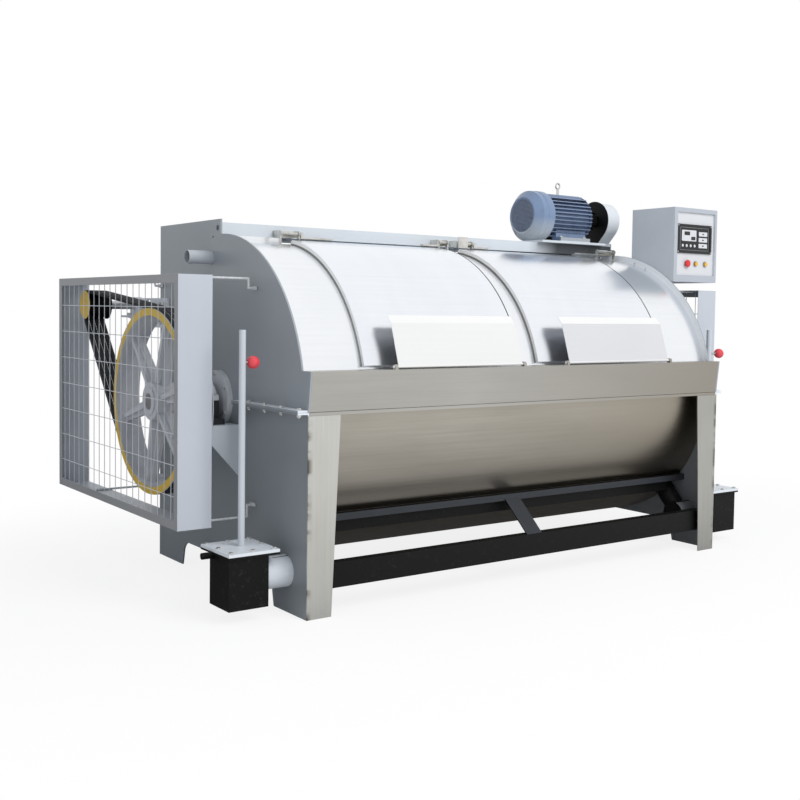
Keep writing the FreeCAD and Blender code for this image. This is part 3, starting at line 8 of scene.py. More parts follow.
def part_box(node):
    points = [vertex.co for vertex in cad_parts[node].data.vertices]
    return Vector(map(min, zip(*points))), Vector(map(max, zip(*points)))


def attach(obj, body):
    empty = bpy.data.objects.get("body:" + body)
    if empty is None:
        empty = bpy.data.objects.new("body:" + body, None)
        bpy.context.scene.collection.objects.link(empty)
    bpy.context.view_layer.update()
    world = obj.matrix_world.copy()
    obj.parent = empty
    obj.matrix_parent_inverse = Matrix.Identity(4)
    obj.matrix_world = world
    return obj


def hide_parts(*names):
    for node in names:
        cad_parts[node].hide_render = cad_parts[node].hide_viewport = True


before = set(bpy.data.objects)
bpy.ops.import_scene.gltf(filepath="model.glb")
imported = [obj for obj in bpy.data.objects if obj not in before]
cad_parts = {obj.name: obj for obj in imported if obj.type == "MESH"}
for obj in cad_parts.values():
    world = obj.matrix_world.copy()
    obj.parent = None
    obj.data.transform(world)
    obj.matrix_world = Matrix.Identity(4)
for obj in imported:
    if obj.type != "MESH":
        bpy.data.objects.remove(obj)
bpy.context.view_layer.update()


# End plates. Two upright steel plates, each in an upper and a lower half, carry the whole machine.
# They are flame cut from 8 mm plate and sprayed with grey machine enamel, and a flange along the
# split is bolted together. The enamel shows a fine orange peel and a faint cloudiness.
def linear(code):
    parts = [int(code[i:i + 2], 16) / 255 for i in (1, 3, 5)]
    return tuple(c / 12.92 if c <= 0.04045 else ((c + 0.055) / 1.055) ** 2.4 for c in parts) + (1.0,)


def put(tree, kind, inputs=None, **settings):
    made = tree.nodes.new(kind)
    for key, value in settings.items():
        setattr(made, key, value)
    for key, value in (inputs or {}).items():
        if isinstance(value, bpy.types.NodeSocket):
            tree.links.new(value, made.inputs[key])
        else:
            made.inputs[key].default_value = value
    return made


def blank(name):
    """An empty material, its node tree, and the part's own coordinates in it."""
    made = bpy.data.materials.new(name)
    made.use_nodes = True
    made.node_tree.nodes.clear()
    return made, made.node_tree, put(made.node_tree, "ShaderNodeTexCoord").outputs["Object"]


def mixed(tree, share, first, second):
    return put(tree, "ShaderNodeMix", {0: share, 6: first, 7: second}, data_type="RGBA").outputs[2]


def faded(tree, place, tone, fade):
    """The tone, passing into a second colour along one axis of the part."""
    axis, start, end, colour = fade
    along = put(tree, "ShaderNodeSeparateXYZ", {"Vector": place})
    share = put(tree, "ShaderNodeMapRange", {0: along.outputs[axis], 1: start, 2: end, 3: 0.0, 4: 1.0})
    return mixed(tree, share.outputs[0], tone, linear(colour))


def sprayed_enamel(name, colour, shade, rough, mottle_mm=260, peel_mm=9, dust="#8c8b88", dusty=0.0, shine=0.5,
                   fade=None):
    """Sprayed enamel: cloudy by a tone or two, with an orange peel that is drawn coarser than the real 3 mm."""
    paint, tree, place = blank(name)
    cloud = put(tree, "ShaderNodeTexNoise", {"Vector": place, "Scale": 1000 / mottle_mm, "Detail": 6.0,
                                             "Roughness": 0.6})
    peel = put(tree, "ShaderNodeTexNoise", {"Vector": place, "Scale": 1000 / peel_mm, "Detail": 2.0})
    tone = mixed(tree, cloud.outputs["Fac"], linear(shade), linear(colour))
    speck = put(tree, "ShaderNodeTexNoise", {"Vector": place, "Scale": 1000 / 22, "Detail": 8.0, "Roughness": 0.75})
    worn = put(tree, "ShaderNodeMapRange", {0: speck.outputs["Fac"], 1: 0.56, 2: 0.74, 3: 0.0, 4: dusty})
    hue = faded(tree, place, tone, fade) if fade else tone
    soiled = mixed(tree, worn.outputs[0], hue, linear(dust))
    gloss = put(tree, "ShaderNodeMapRange", {0: cloud.outputs["Fac"], 1: 0.3, 2: 0.7, 3: rough - 0.06, 4: rough + 0.06})
    skin = put(tree, "ShaderNodeBump", {"Height": peel.outputs["Fac"], "Strength": 0.12, "Distance": 0.001})
    coat = put(tree, "ShaderNodeBsdfPrincipled", {"Base Color": soiled, "Roughness": gloss.outputs[0],
                                                  "Normal": skin.outputs["Normal"], "IOR": 1.5,
                                                  "Specular IOR Level": shine})
    put(tree, "ShaderNodeOutputMaterial", {"Surface": coat.outputs["BSDF"]})
    return paint


def smoothed(work, split):
    """Shades the faces smooth, apart from edges sharper than split degrees."""
    for face in work.faces:
        face.smooth = True
    for e in work.edges:
        e.smooth = len(e.link_faces) == 2 and e.calc_face_angle(0.0) < math.radians(split)


def rounded(piece, edge, split):
    """Rounds the edges sharper than split degrees by edge mm."""
    bevel = piece.modifiers.new("rounded edges", "BEVEL")
    bevel.width = edge / 1000
    bevel.segments = 2
    bevel.limit_method = "ANGLE"
    bevel.angle_limit = math.radians(split)
    bevel.harden_normals = True


def middle(face):
    return face.calc_center_median()


def finished(node, body, *coats, edge=1.0, pick=None, keep=None, name=None, split=32):
    """The CAD node's own form, welded into one skin, with its edges rounded by edge mm, in its finish."""
    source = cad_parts[node].data
    raw = bpy.data.meshes.new(name or node + ".finished")
    raw.from_pydata([v.co[:] for v in source.vertices], [], [p.vertices[:] for p in source.polygons])
    work = bmesh.new()
    work.from_mesh(raw)
    bmesh.ops.remove_doubles(work, verts=work.verts, dist=5e-6)
    if keep:
        bmesh.ops.delete(work, geom=[f for f in work.faces if not keep(middle(f))], context="FACES")
    bmesh.ops.dissolve_limit(work, angle_limit=math.radians(0.3), verts=work.verts, edges=work.edges)
    smoothed(work, split)
    for face in work.faces:
        face.material_index = pick(face) if pick else 0
    work.to_mesh(raw)
    work.free()
    for c in coats:
        raw.materials.append(c)
    piece = bpy.data.objects.new(raw.name, raw)
    bpy.context.scene.collection.objects.link(piece)
    rounded(piece, edge, split)
    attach(piece, body)
    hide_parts(node)
    return piece


plate_enamel = sprayed_enamel("grey machine enamel, sprayed", "#a2a8ad", "#949a9f", 0.4)
# The lower halves take a darker copy of the plate enamel: painted shade.
plate_low_shaded = sprayed_enamel("grey machine enamel, painted shade, lower halves", "#8d9398", "#80868b", 0.42)
# A pale copy of the plate enamel. On the plates' flange faces it is a painted highlight; it also colours the bearing
# shelves and countershaft brackets.
plate_pale_and_highlight = sprayed_enamel("grey machine enamel, thin coat", "#e3e8ee", "#d6dce2", 0.4)
# A darker copy of the plate enamel: painted shade on the right plate's lower inner face and on the right drain pipe's
# outer end.
plate_dim_shaded = sprayed_enamel("grey machine enamel, painted shade", "#82868b", "#707479", 0.5)
# A near-white copy of the plate enamel: painted light on the right plate's upper inner face.
plate_lit_inner = sprayed_enamel("grey machine enamel, painted light on inner face", "#f6f9fd", "#ebeff4", 0.36)


def inward(face):
    return 1 if face.normal.x < -0.9 else 0


def by_side(face):
    flange = abs(middle(face).x) > flange_x and abs(face.normal.x) < 0.9
    return 2 if flange else inward(face)


flange_x = 1.2215
for half, side, outer, inner in (
        ("upper", "left", plate_enamel, plate_enamel), ("upper", "right", plate_enamel, plate_lit_inner),
        ("lower", "left", plate_low_shaded, plate_low_shaded), ("lower", "right", plate_low_shaded, plate_dim_shaded)):
    plate = finished("end_plate_%s_%s" % (half, side), "frame", outer, inner, plate_pale_and_highlight, edge=1.6, pick=by_side)


# Front legs. A 6 mm stainless strip closes the front edge of each lower plate, down to the floor.
# The sheet is left as ground, and short stitch welds hold its outer edge to the plate: each has left
# a bead and a brown heat tint beside it.
def brushed_stainless(name, colour, shade, rough, run_mm=(700, 9, 9), cloud_mm=(420, 260, 260), burnt=None, cut=0.05,
                      fade=None):
    """Ground stainless: long fine scratches and soft clouds. The scratches are drawn 9 mm wide, so that they show."""
    steel, tree, place = blank(name)
    along = put(tree, "ShaderNodeMapping", {"Vector": place, "Scale": [1000 / s for s in run_mm]})
    drift = put(tree, "ShaderNodeMapping", {"Vector": place, "Scale": [1000 / s for s in cloud_mm]})
    grain = put(tree, "ShaderNodeTexNoise", {"Vector": along.outputs[0], "Scale": 1.0, "Detail": 4.0, "Roughness": 0.7})
    cloud = put(tree, "ShaderNodeTexNoise", {"Vector": drift.outputs[0], "Scale": 1.0, "Detail": 5.0,
                                             "Roughness": 0.55})
    both = put(tree, "ShaderNodeMath", {0: grain.outputs["Fac"], 1: cloud.outputs["Fac"]}, operation="ADD")
    level = put(tree, "ShaderNodeMapRange", {0: both.outputs[0], 1: 0.6, 2: 1.4, 3: 0.0, 4: 1.0})
    tone = mixed(tree, level.outputs[0], linear(shade), linear(colour))
    face = faded(tree, place, tone, fade) if fade else tone
    if burnt:
        marks, tint = burnt
        axis = put(tree, "ShaderNodeSeparateXYZ", {"Vector": place})
        side = put(tree, "ShaderNodeMath", {0: axis.outputs["X"]}, operation="ABSOLUTE")
        near = put(tree, "ShaderNodeMapRange", {0: side.outputs[0], 1: marks[0], 2: marks[1], 3: 0.0, 4: 1.0})
        spots = put(tree, "ShaderNodeMapping", {"Vector": place, "Scale": (4.0, 4.0, 1000 / marks[2])})
        patch = put(tree, "ShaderNodeTexNoise", {"Vector": spots.outputs[0], "Scale": 1.0, "Detail": 3.0})
        heat = put(tree, "ShaderNodeMapRange", {0: patch.outputs["Fac"], 1: 0.46, 2: 0.62, 3: 0.0, 4: 1.0})
        stain = put(tree, "ShaderNodeMath", {0: near.outputs[0], 1: heat.outputs[0]}, operation="MULTIPLY")
        face = mixed(tree, stain.outputs[0], face, linear(tint))
    gloss = put(tree, "ShaderNodeMapRange", {0: grain.outputs["Fac"], 1: 0.3, 2: 0.7, 3: rough - cut, 4: rough + cut})
    lines = put(tree, "ShaderNodeBump", {"Height": grain.outputs["Fac"], "Strength": cut, "Distance": 0.001})
    metal = put(tree, "ShaderNodeBsdfPrincipled", {"Base Color": face, "Metallic": 1.0, "Roughness": gloss.outputs[0],
                                                   "Normal": lines.outputs["Normal"]})
    put(tree, "ShaderNodeOutputMaterial", {"Surface": metal.outputs["BSDF"]})
    return steel


def grown(name, tree, sizes, points=()):
    """Runs a node tree on some points and keeps what it makes as a plain mesh."""
    host = bpy.data.objects.new(name, bpy.data.meshes.new(name + ".points"))
    host.data.from_pydata(list(points), [], [])
    bpy.context.scene.collection.objects.link(host)
    run = host.modifiers.new("nodes", "NODES")
    run.node_group = tree
    for item in tree.interface.items_tree:
        if item.item_type == "SOCKET" and item.in_out == "INPUT" and item.name in sizes:
            run[item.identifier] = sizes[item.name]
    graph = bpy.context.evaluated_depsgraph_get()
    mesh = bpy.data.meshes.new_from_object(host.evaluated_get(graph), depsgraph=graph)
    host.modifiers.remove(run)
    host.data = mesh
    return host


def recipe(name, sockets):
    """An empty node tree with named inputs, and its input and output nodes."""
    tree = bpy.data.node_groups.new(name, "GeometryNodeTree")
    tree.interface.new_socket("Points", in_out="INPUT", socket_type="NodeSocketGeometry")
    for label, kind in sockets:
        tree.interface.new_socket(label, in_out="INPUT", socket_type="NodeSocket" + kind)
    tree.interface.new_socket("Made", in_out="OUTPUT", socket_type="NodeSocketGeometry")
    return tree, tree.nodes.new("NodeGroupInput").outputs, tree.nodes.new("NodeGroupOutput").inputs


leg_runs = ((9, 9, 420), (300, 300, 500))
tint_reach = (1.197, 1.219, 70)
leg_steel = brushed_stainless("ground stainless, stitch welded", "#dcdcd8", "#c8c7c1", 0.42, *leg_runs,
                              burnt=(tint_reach, "#6d655b"))
# The right leg takes a darker copy of the same steel and heat tint: painted shade.
leg_right_shaded = brushed_stainless("ground stainless, stitch welded, painted shade", "#c3c3bf", "#b0afa9", 0.42, *leg_runs,
                            burnt=(tint_reach, "#5d564d"))
finished("front_legs", "frame", leg_steel, leg_right_shaded, edge=1.2,
                 pick=lambda f: 1 if middle(f).x > 0 else 0)

weld_steel, tree, place = blank("weld metal, as laid")
scale = put(tree, "ShaderNodeTexNoise", {"Vector": place, "Scale": 1000 / 14, "Detail": 4.0})
tone = mixed(tree, scale.outputs["Fac"], linear("#4a4642"), linear("#a09c95"))
bead = put(tree, "ShaderNodeBsdfPrincipled", {"Base Color": tone, "Metallic": 1.0, "Roughness": 0.45})
put(tree, "ShaderNodeOutputMaterial", {"Surface": bead.outputs["BSDF"]})

ripples, given, made = recipe("weld ripples", (("Ripple radius", "Float"), ("Flatness", "Vector"),
                                               ("Metal", "Material")))
drop = put(ripples, "GeometryNodeMeshIcoSphere", {"Radius": given["Ripple radius"], "Subdivisions": 2})
laid = put(ripples, "GeometryNodeInstanceOnPoints", {"Points": given["Points"], "Instance": drop.outputs["Mesh"],
                                                     "Scale": given["Flatness"]})
solid = put(ripples, "GeometryNodeRealizeInstances", {"Geometry": laid.outputs["Instances"]})
coated = put(ripples, "GeometryNodeSetMaterial", {"Geometry": solid.outputs["Geometry"], "Material": given["Metal"]})
ripples.links.new(coated.outputs["Geometry"], made["Made"])
stitch_z = [0.055, 0.150, 0.262, 0.388, 0.520, 0.655, 0.752]
seam_x, seam_y, ripple_step = 1.2165, -0.8505, 0.0042
stitches = []
for side in (-1, 1):
    for i, z in enumerate(stitch_z):
        for k in range(11 + 3 * (i % 2)):
            stitches.append((side * (seam_x + 0.0007 * math.sin(k * 1.7)), seam_y, z + ripple_step * k))
welds = grown("leg_stitch_welds", ripples, {"Ripple radius": 0.0048, "Flatness": (0.72, 0.36, 0.6),
                                            "Metal": weld_steel}, stitches)
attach(welds, "frame")

# Under frame. A rolled channel runs between the legs, an angle carries the belly of the tub, and one
# flat tie joins the two. All of it is mild steel brushed with black enamel, dusty from the workshop.
black_enamel = sprayed_enamel("black enamel, brushed on", "#151515", "#0e0e0e", 0.45, 180, 12, "#3c3b39", 0.35, 0.16)
finished("bottom_beam", "frame", black_enamel, edge=1.5)
black_lit_front = sprayed_enamel("black enamel, painted light on front faces", "#3a3d42", "#2c2f33", 0.45, 180, 12, "#5a5b5c", 0.2, 0.25)
lip_y = -0.66


# Faces looking forward take a grey copy of the black enamel: painted light where the lamp falls on them.
def lit_front_face(face):
    sloping = face.normal.y > -0.95
    return 1 if face.normal.y < -0.5 and (sloping or middle(face).y < lip_y) else 0


finished("tub_support", "frame", black_enamel, black_lit_front, edge=1.2, pick=lit_front_face)

# Tub. The lower half is a trough rolled from 4 mm stainless, dull and smoky from handling, and the
# upper half is a brighter skin with the two loading windows. Both are welded to their end walls, and left
# of the doors a narrow flashing closes the gap between the skin and the top beam.
# The trough darkens towards its right end: painted shade.
trough_steel = brushed_stainless("rolled stainless, dull", "#bdb8ae", "#a49f95", 0.34, (900, 10, 10), (700, 160, 130),
                                 fade=("X", -0.3, 1.2, "#a39b8e"))
skin_steel = brushed_stainless("brushed stainless, bright", "#f6f8fb", "#eef1f5", 0.26, (800, 9, 9), (260, 500, 500),
                               cut=0.012)
finished("tub_upper", "frame", skin_steel, edge=0.8)
x0, x1 = -1.2075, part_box("door_left")[0][0] - 0.004
y0, y1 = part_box("top_beam")[0][1] - 0.0005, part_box("top_beam")[0][1] + 0.002
z0, z1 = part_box("tub_upper")[1][2] - 0.0005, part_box("top_beam")[0][2]
flashing_mesh = bpy.data.meshes.new("skin_flashing")
flashing_mesh.from_pydata([(x, y, z) for x in (x0, x1) for y in (y0, y1) for z in (z0, z1)], [],
                          [(0, 1, 3, 2), (4, 6, 7, 5), (0, 4, 5, 1), (2, 3, 7, 6), (0, 2, 6, 4), (1, 5, 7, 3)])
flashing_mesh.materials.append(skin_steel)
flashing = bpy.data.objects.new("skin_flashing", flashing_mesh)
bpy.context.scene.collection.objects.link(flashing)
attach(flashing, "frame")

# Front panel. A folded stainless sheet stands along the front of the tub, leaning out a little, with
# a narrow ledge on top that carries the eyes of the flap hinges. The trough's front lip shows under it.
# The panel darkens towards its right end: painted shade.
panel_steel = brushed_stainless("folded stainless, ground", "#c3c2bc", "#b3b1ab", 0.38, (900, 9, 9), (600, 300, 120),
                                fade=("X", -0.4, 1.15, "#a5a097"))
lip_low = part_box("tub_lower")[1][2] - 0.012
finished("front_panel", "frame", panel_steel, edge=1.0)
# The trough's front lip takes the panel's paler steel: painted light on a face that lies in the panel's shade.
finished("tub_lower", "frame", trough_steel, panel_steel, edge=0.8,
                 pick=lambda f: 1 if f.normal.y < -0.9 and middle(f).z > lip_low else 0)

# Drum. A cylinder of perforated stainless with lifters and door guides inside, two flat ends and two
# sliding doors. The punched holes stand in staggered rows and miss the door openings.
drum_steel = brushed_stainless("perforated stainless, polished", "#c9cccf", "#b4b8bb", 0.3, (600, 9, 9),
                               (300, 300, 300))
for node in ("drum_shell", "drum_ends"):
    finished(node, "drum", drum_steel, edge=0.8)
for side in ("left", "right"):
    finished("drum_door_" + side, "drum_door_" + side, drum_steel, edge=0.8)

hole_dark, tree, place = blank("punched hole, in shadow")
depth = put(tree, "ShaderNodeTexNoise", {"Vector": place, "Scale": 1000 / 40})
tone = mixed(tree, depth.outputs["Fac"], linear("#141414"), linear("#2a2a2a"))
dark = put(tree, "ShaderNodeBsdfPrincipled", {"Base Color": tone, "Roughness": 0.8})
put(tree, "ShaderNodeOutputMaterial", {"Surface": dark.outputs["BSDF"]})

punched, given, made = recipe("punched holes round an axis", (("Hole radius", "Float"), ("Depth", "Float"),
                                                             ("Axis", "Vector"), ("Shade", "Material")))
slug = put(punched, "GeometryNodeMeshCylinder", {"Vertices": 10, "Radius": given["Hole radius"],
                                                 "Depth": given["Depth"]})
spot = put(punched, "GeometryNodeInputPosition")
out = put(punched, "ShaderNodeVectorMath", {0: spot.outputs[0], 1: given["Axis"]}, operation="SUBTRACT")
flat = put(punched, "ShaderNodeVectorMath", {0: out.outputs[0], 1: (0.0, 1.0, 1.0)}, operation="MULTIPLY")
turn = put(punched, "FunctionNodeAlignRotationToVector", {"Vector": flat.outputs[0]}, axis="Z")
laid = put(punched, "GeometryNodeInstanceOnPoints", {"Points": given["Points"], "Instance": slug.outputs["Mesh"],
                                                     "Rotation": turn.outputs["Rotation"]})
solid = put(punched, "GeometryNodeRealizeInstances", {"Geometry": laid.outputs["Instances"]})
coated = put(punched, "GeometryNodeSetMaterial", {"Geometry": solid.outputs["Geometry"], "Material": given["Shade"]})
punched.links.new(coated.outputs["Geometry"], made["Made"])
drum_y, drum_z, drum_r = -0.0945, 0.812, 0.608
row_deg, pitch, first_x, last_x = 6, 0.0603, -1.125, 1.14
window_mid, window_half = 0.51, 0.405
holes = []
for row in range(60):
    turned_by = row_deg * row + row_deg / 2
    a = math.radians(turned_by)
    for col in range(38):
        x = first_x + pitch * (col + 0.5 * (row % 2))
        by_door = 24 < turned_by < 82 and abs(abs(x) - window_mid) < window_half
        by_lifter = any(abs(turned_by - b) < 8 for b in (150, 240, 330))
        if abs(x) < last_x and not by_door and not by_lifter:
            holes.append((x, drum_y - drum_r * math.cos(a), drum_z + drum_r * math.sin(a)))
perforations = grown("drum_perforations", punched, {"Hole radius": 0.007, "Depth": 0.0046,
                                                    "Axis": (0.0, drum_y, drum_z), "Shade": hole_dark}, holes)
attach(perforations, "drum")

# Shafts and bearings. The drum's turned stub shafts run in split plummer blocks on welded shelves,
# and a flanged seal closes each plate round the shaft. The blocks are near black, the caps silver grey.
turned_steel = brushed_stainless("turned steel, oiled", "#c9cacc", "#a6a8ab", 0.3, (6, 300, 300), (200, 200, 200))
block_iron = sprayed_enamel("cast iron, near black", "#34363a", "#232427", 0.4, 60, 5)
cap_iron = sprayed_enamel("cast iron, silver grey paint", "#dfe2e6", "#b9bdc2", 0.34, 40, 5)
finished("drum_shafts", "drum", turned_steel, edge=1.5)
finished("bearing_shelves", "frame", plate_pale_and_highlight, edge=1.5)
finished("bearing_housings", "frame", block_iron, edge=3.0)
finished("bearing_caps", "frame", cap_iron, edge=3.0)
finished("shaft_seals", "frame", cap_iron, edge=2.5)

# Fasteners. Hexagon bolts with nuts along the split of the plates and the tub, and hexagon screws on
# the seals, caps, lids and feet. Zinc plated, with rounded corners that catch the light.
zinc = brushed_stainless("zinc plate, passivated", "#e4e5e4", "#c2c2be", 0.32, (20, 20, 20), (60, 60, 60))
finished("bolts_and_nuts", "frame", zinc, edge=0.9)
finished("screws", "frame", zinc, edge=0.8)

# Drum pulleys. Spoked iron castings with four V grooves, painted silver grey over the sand-cast skin.
# The outer face of the rim is picked out in yellow.
cast_silver = sprayed_enamel("cast iron, silver paint", "#ccced2", "#b2b5ba", 0.42, 90, 5, "#85868a", 0.25)
yellow_enamel = sprayed_enamel("yellow enamel, brushed on", "#e2c04a", "#c9a536", 0.42, 80, 8, "#8d7a3c", 0.2)


rim_x = 1.552


def rim_face(face):
    return 1 if abs(face.normal.x) > 0.9 and abs(abs(face.verts[0].co.x) - rim_x) < 0.0005 else 0


def shaft_face(face):
    return 1 if abs(face.normal.x) > 0.9 and abs(face.verts[0].co.x) > rim_x - 0.0005 else 0


finished("big_pulleys", "drum", cast_silver, yellow_enamel, edge=2.0, pick=rim_face)

# Countershaft. A bright shaft behind the tub, in two pillow blocks on welded brackets, carries a small
# pulley at each end and the motor's driven pulley on the right. The small pulleys have yellow faces too.
finished("countershaft", "countershaft", turned_steel, yellow_enamel, edge=1.0, pick=shaft_face)
finished("countershaft_pulleys", "countershaft", black_enamel, yellow_enamel, edge=1.2, pick=shaft_face)
finished("countershaft_brackets", "frame", plate_pale_and_highlight, edge=1.2)
finished("countershaft_bearings", "frame", cap_iron, edge=2.0)

# Belts. Four V belts at each end of the drum and three from the motor: black rubber with a fabric
# wrap, matt and slightly grey from dust.
belt_rubber, tree, place = blank("belt rubber, fabric wrapped")
wrap = put(tree, "ShaderNodeTexNoise", {"Vector": place, "Scale": 1000 / 6, "Detail": 4.0})
wear = put(tree, "ShaderNodeTexNoise", {"Vector": place, "Scale": 1000 / 120, "Detail": 4.0})
tone = mixed(tree, wear.outputs["Fac"], linear("#161719"), linear("#303236"))
weave = put(tree, "ShaderNodeBump", {"Height": wrap.outputs["Fac"], "Strength": 0.3, "Distance": 0.001})
rubber = put(tree, "ShaderNodeBsdfPrincipled", {"Base Color": tone, "Roughness": 0.75,
                                                "Normal": weave.outputs["Normal"]})
put(tree, "ShaderNodeOutputMaterial", {"Surface": rubber.outputs["BSDF"]})
finished("belts", "frame", belt_rubber, edge=0.8)

# Guards. Folded sheet frames stand over the drum pulleys, each closed by a net of welded wire, and
# hang on bent rods with wing nuts. The sheet is sprayed blue grey, the net is dipped a paler grey.
guard_enamel = sprayed_enamel("blue-grey sheet enamel, sprayed", "#c2c7ce", "#b7bcc4", 0.4)
guard_shaded_side = sprayed_enamel("grey sheet enamel, painted shade on left faces", "#9b9c9e", "#8f9092", 0.42)
# The frames' left-facing faces take a darker grey copy of the enamel: painted shade.
finished("guard_frames", "frame", guard_enamel, guard_shaded_side, edge=1.0, pick=inward)

dipped_wire = sprayed_enamel("wire net, dipped", "#dfe1e4", "#cbced2", 0.4, 60, 6)
netting, given, made = recipe("welded wire net", (("Uprights", "Int"), ("Upright step", "Vector"), ("Bars", "Int"),
                                                 ("Bar step", "Vector"), ("Tall", "Vector"), ("Wide", "Vector"),
                                                 ("Wire radius", "Float"), ("Place", "Vector"), ("Bar place", "Vector"),
                                                 ("Finish", "Material")))
ring = put(netting, "GeometryNodeCurvePrimitiveCircle", {"Resolution": 8, "Radius": given["Wire radius"]})
layers = []
for count, step, reach, corner in (("Uprights", "Upright step", "Tall", "Place"),
                                   ("Bars", "Bar step", "Wide", "Bar place")):
    row = put(netting, "GeometryNodeMeshLine", {"Count": given[count], "Start Location": given[corner],
                                                "Offset": given[step]})
    line = put(netting, "GeometryNodeCurvePrimitiveLine", {"End": given[reach]})
    wire = put(netting, "GeometryNodeCurveToMesh", {"Curve": line.outputs["Curve"],
                                                    "Profile Curve": ring.outputs["Curve"], "Fill Caps": True})
    layers.append(put(netting, "GeometryNodeInstanceOnPoints", {"Points": row.outputs["Mesh"],
                                                                "Instance": wire.outputs["Mesh"]}))
joined = put(netting, "GeometryNodeJoinGeometry")
for layer in layers:
    netting.links.new(layer.outputs["Instances"], joined.inputs["Geometry"])
solid = put(netting, "GeometryNodeRealizeInstances", {"Geometry": joined.outputs["Geometry"]})
smooth = put(netting, "GeometryNodeSetShadeSmooth", {"Geometry": solid.outputs["Geometry"]})
coated = put(netting, "GeometryNodeSetMaterial", {"Geometry": smooth.outputs["Geometry"], "Material": given["Finish"]})
netting.links.new(coated.outputs["Geometry"], made["Made"])
low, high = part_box("guard_meshes")
wire_r, upright_x, bar_x = 0.0017, 1.6072, 1.6068
uprights, bars = 22, 9
wide = high[1] - low[1] - 2 * wire_r
tall = high[2] - low[2] - 2 * wire_r
for side, label in ((-1, "left"), (1, "right")):
    net = grown("guard_net_" + label, netting, {
        "Uprights": uprights, "Upright step": (0.0, wide / (uprights - 1), 0.0),
        "Bars": bars, "Bar step": (0.0, 0.0, tall / (bars - 1)),
        "Tall": (0.0, 0.0, tall), "Wide": (0.0, wide, 0.0), "Wire radius": wire_r,
        "Place": (side * upright_x, low[1] + wire_r, low[2] + wire_r),
        "Bar place": (side * bar_x, low[1] + wire_r, low[2] + wire_r), "Finish": dipped_wire})
    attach(net, "frame")
    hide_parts("guard_meshes")
rod_zinc = sprayed_enamel("zinc plate, bright dipped", "#e2e4e6", "#b4b7ba", 0.26, 16, 5)
finished("guard_rods", "frame", rod_zinc, edge=0.6)


# Outer doors. Two shallow pans pressed from bright stainless that slide round over the tub skin.
# The face is finely brushed. The left edge is folded down to the skin, dark low on the fold as painted shade
# where it meets the skin and white above as a painted highlight. A thin strip of black rubber along the right
# edge is painted shade for the gap under it.
def ramp(tree, share, stops):
    """A colour ramp with the given (place, colour) stops."""
    grade = put(tree, "ShaderNodeValToRGB", {0: share})
    while len(grade.color_ramp.elements) < len(stops):
        grade.color_ramp.elements.new(0.5)
    for stop, (spot, colour) in zip(grade.color_ramp.elements, stops):
        stop.position = spot
        stop.color = colour
    return grade.outputs["Color"]


def built(name, work, coat):
    """Keeps a worked mesh as a piece in its finish."""
    mesh = bpy.data.meshes.new(name)
    work.to_mesh(mesh)
    work.free()
    mesh.materials.append(coat)
    piece = bpy.data.objects.new(name, mesh)
    bpy.context.scene.collection.objects.link(piece)
    return piece


door_steel = brushed_stainless("brushed stainless, door face", "#f4f7fc", "#ecf0f6", 0.24, (900, 9, 9), (180, 600, 600),
                               cut=0.012)
skirt_r, edge_r = 0.692, 0.712
edge_steel, tree, place = blank("folded stainless, door edge, painted shade and highlight")
off = put(tree, "ShaderNodeVectorMath", {0: place, 1: (0.0, drum_y, drum_z)}, operation="SUBTRACT")
flat = put(tree, "ShaderNodeVectorMath", {0: off.outputs[0], 1: (0.0, 1.0, 1.0)}, operation="MULTIPLY")
out = put(tree, "ShaderNodeVectorMath", {0: flat.outputs[0]}, operation="LENGTH")
rise = put(tree, "ShaderNodeMapRange", {0: out.outputs["Value"], 1: skirt_r, 2: edge_r, 3: 0.0, 4: 1.0})
# Dark low on the fold, white above: painted shade where the fold meets the skin, and a painted highlight.
edge_shade_and_highlight = ((0.0, "#7b7974"), (0.16, "#8d8b86"), (0.28, "#fdfdfc"), (1.0, "#ffffff"))
bands = ramp(tree, rise.outputs[0], [(spot, linear(colour)) for spot, colour in edge_shade_and_highlight])
fold = put(tree, "ShaderNodeBsdfPrincipled", {"Base Color": bands, "Metallic": 0.1, "Roughness": 0.4})
put(tree, "ShaderNodeOutputMaterial", {"Surface": fold.outputs["BSDF"]})
strip_from, strip_step, strip_rows = 14.5, 2.0, 35
for side in ("left", "right"):
    finished("door_" + side, "door_" + side, door_steel, edge_steel, edge=1.0, pick=inward)
    left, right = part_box("door_" + side)[0][0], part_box("door_" + side)[1][0]
    # The strip of black belt rubber along each door's right edge is painted shade for the gap under that edge.
    for name, x0, x1, r0, r1, coat in (
            ("door_gap_shade_" + side, right + 0.0002, right + 0.0048, 0.7, edge_r + 0.0003, belt_rubber),
            ("door_skirt_" + side, left + 0.0001, left + 0.002, skirt_r, 0.706, edge_steel)):
        work = bmesh.new()
        rows = []
        for k in range(strip_rows):
            t = math.radians(strip_from + strip_step * k)
            rows.append([work.verts.new((x, drum_y - r * math.cos(t), drum_z + r * math.sin(t)))
                         for x, r in ((x0, r0), (x0, r1), (x1, r1), (x1, r0))])
        for a, b in zip(rows, rows[1:]):
            for i in range(4):
                work.faces.new((a[i], a[(i + 1) % 4], b[(i + 1) % 4], b[i]))
        work.faces.new(rows[0])
        work.faces.new(rows[-1][::-1])
        bmesh.ops.recalc_face_normals(work, faces=work.faces)
        strip = built(name, work, coat)
        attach(strip, "door_" + side)

# Flaps. A bent stainless leaf in front of each door, hinged on a rod along the front panel's ledge.
flap_runs = ((900, 9, 9), (400, 300, 300))
# The flaps' upward faces are pure white: painted highlight.
flap_top_highlight = brushed_stainless("bent stainless, flap top, painted highlight", "#ffffff", "#fafbfb", 0.22, *flap_runs, cut=0.01)
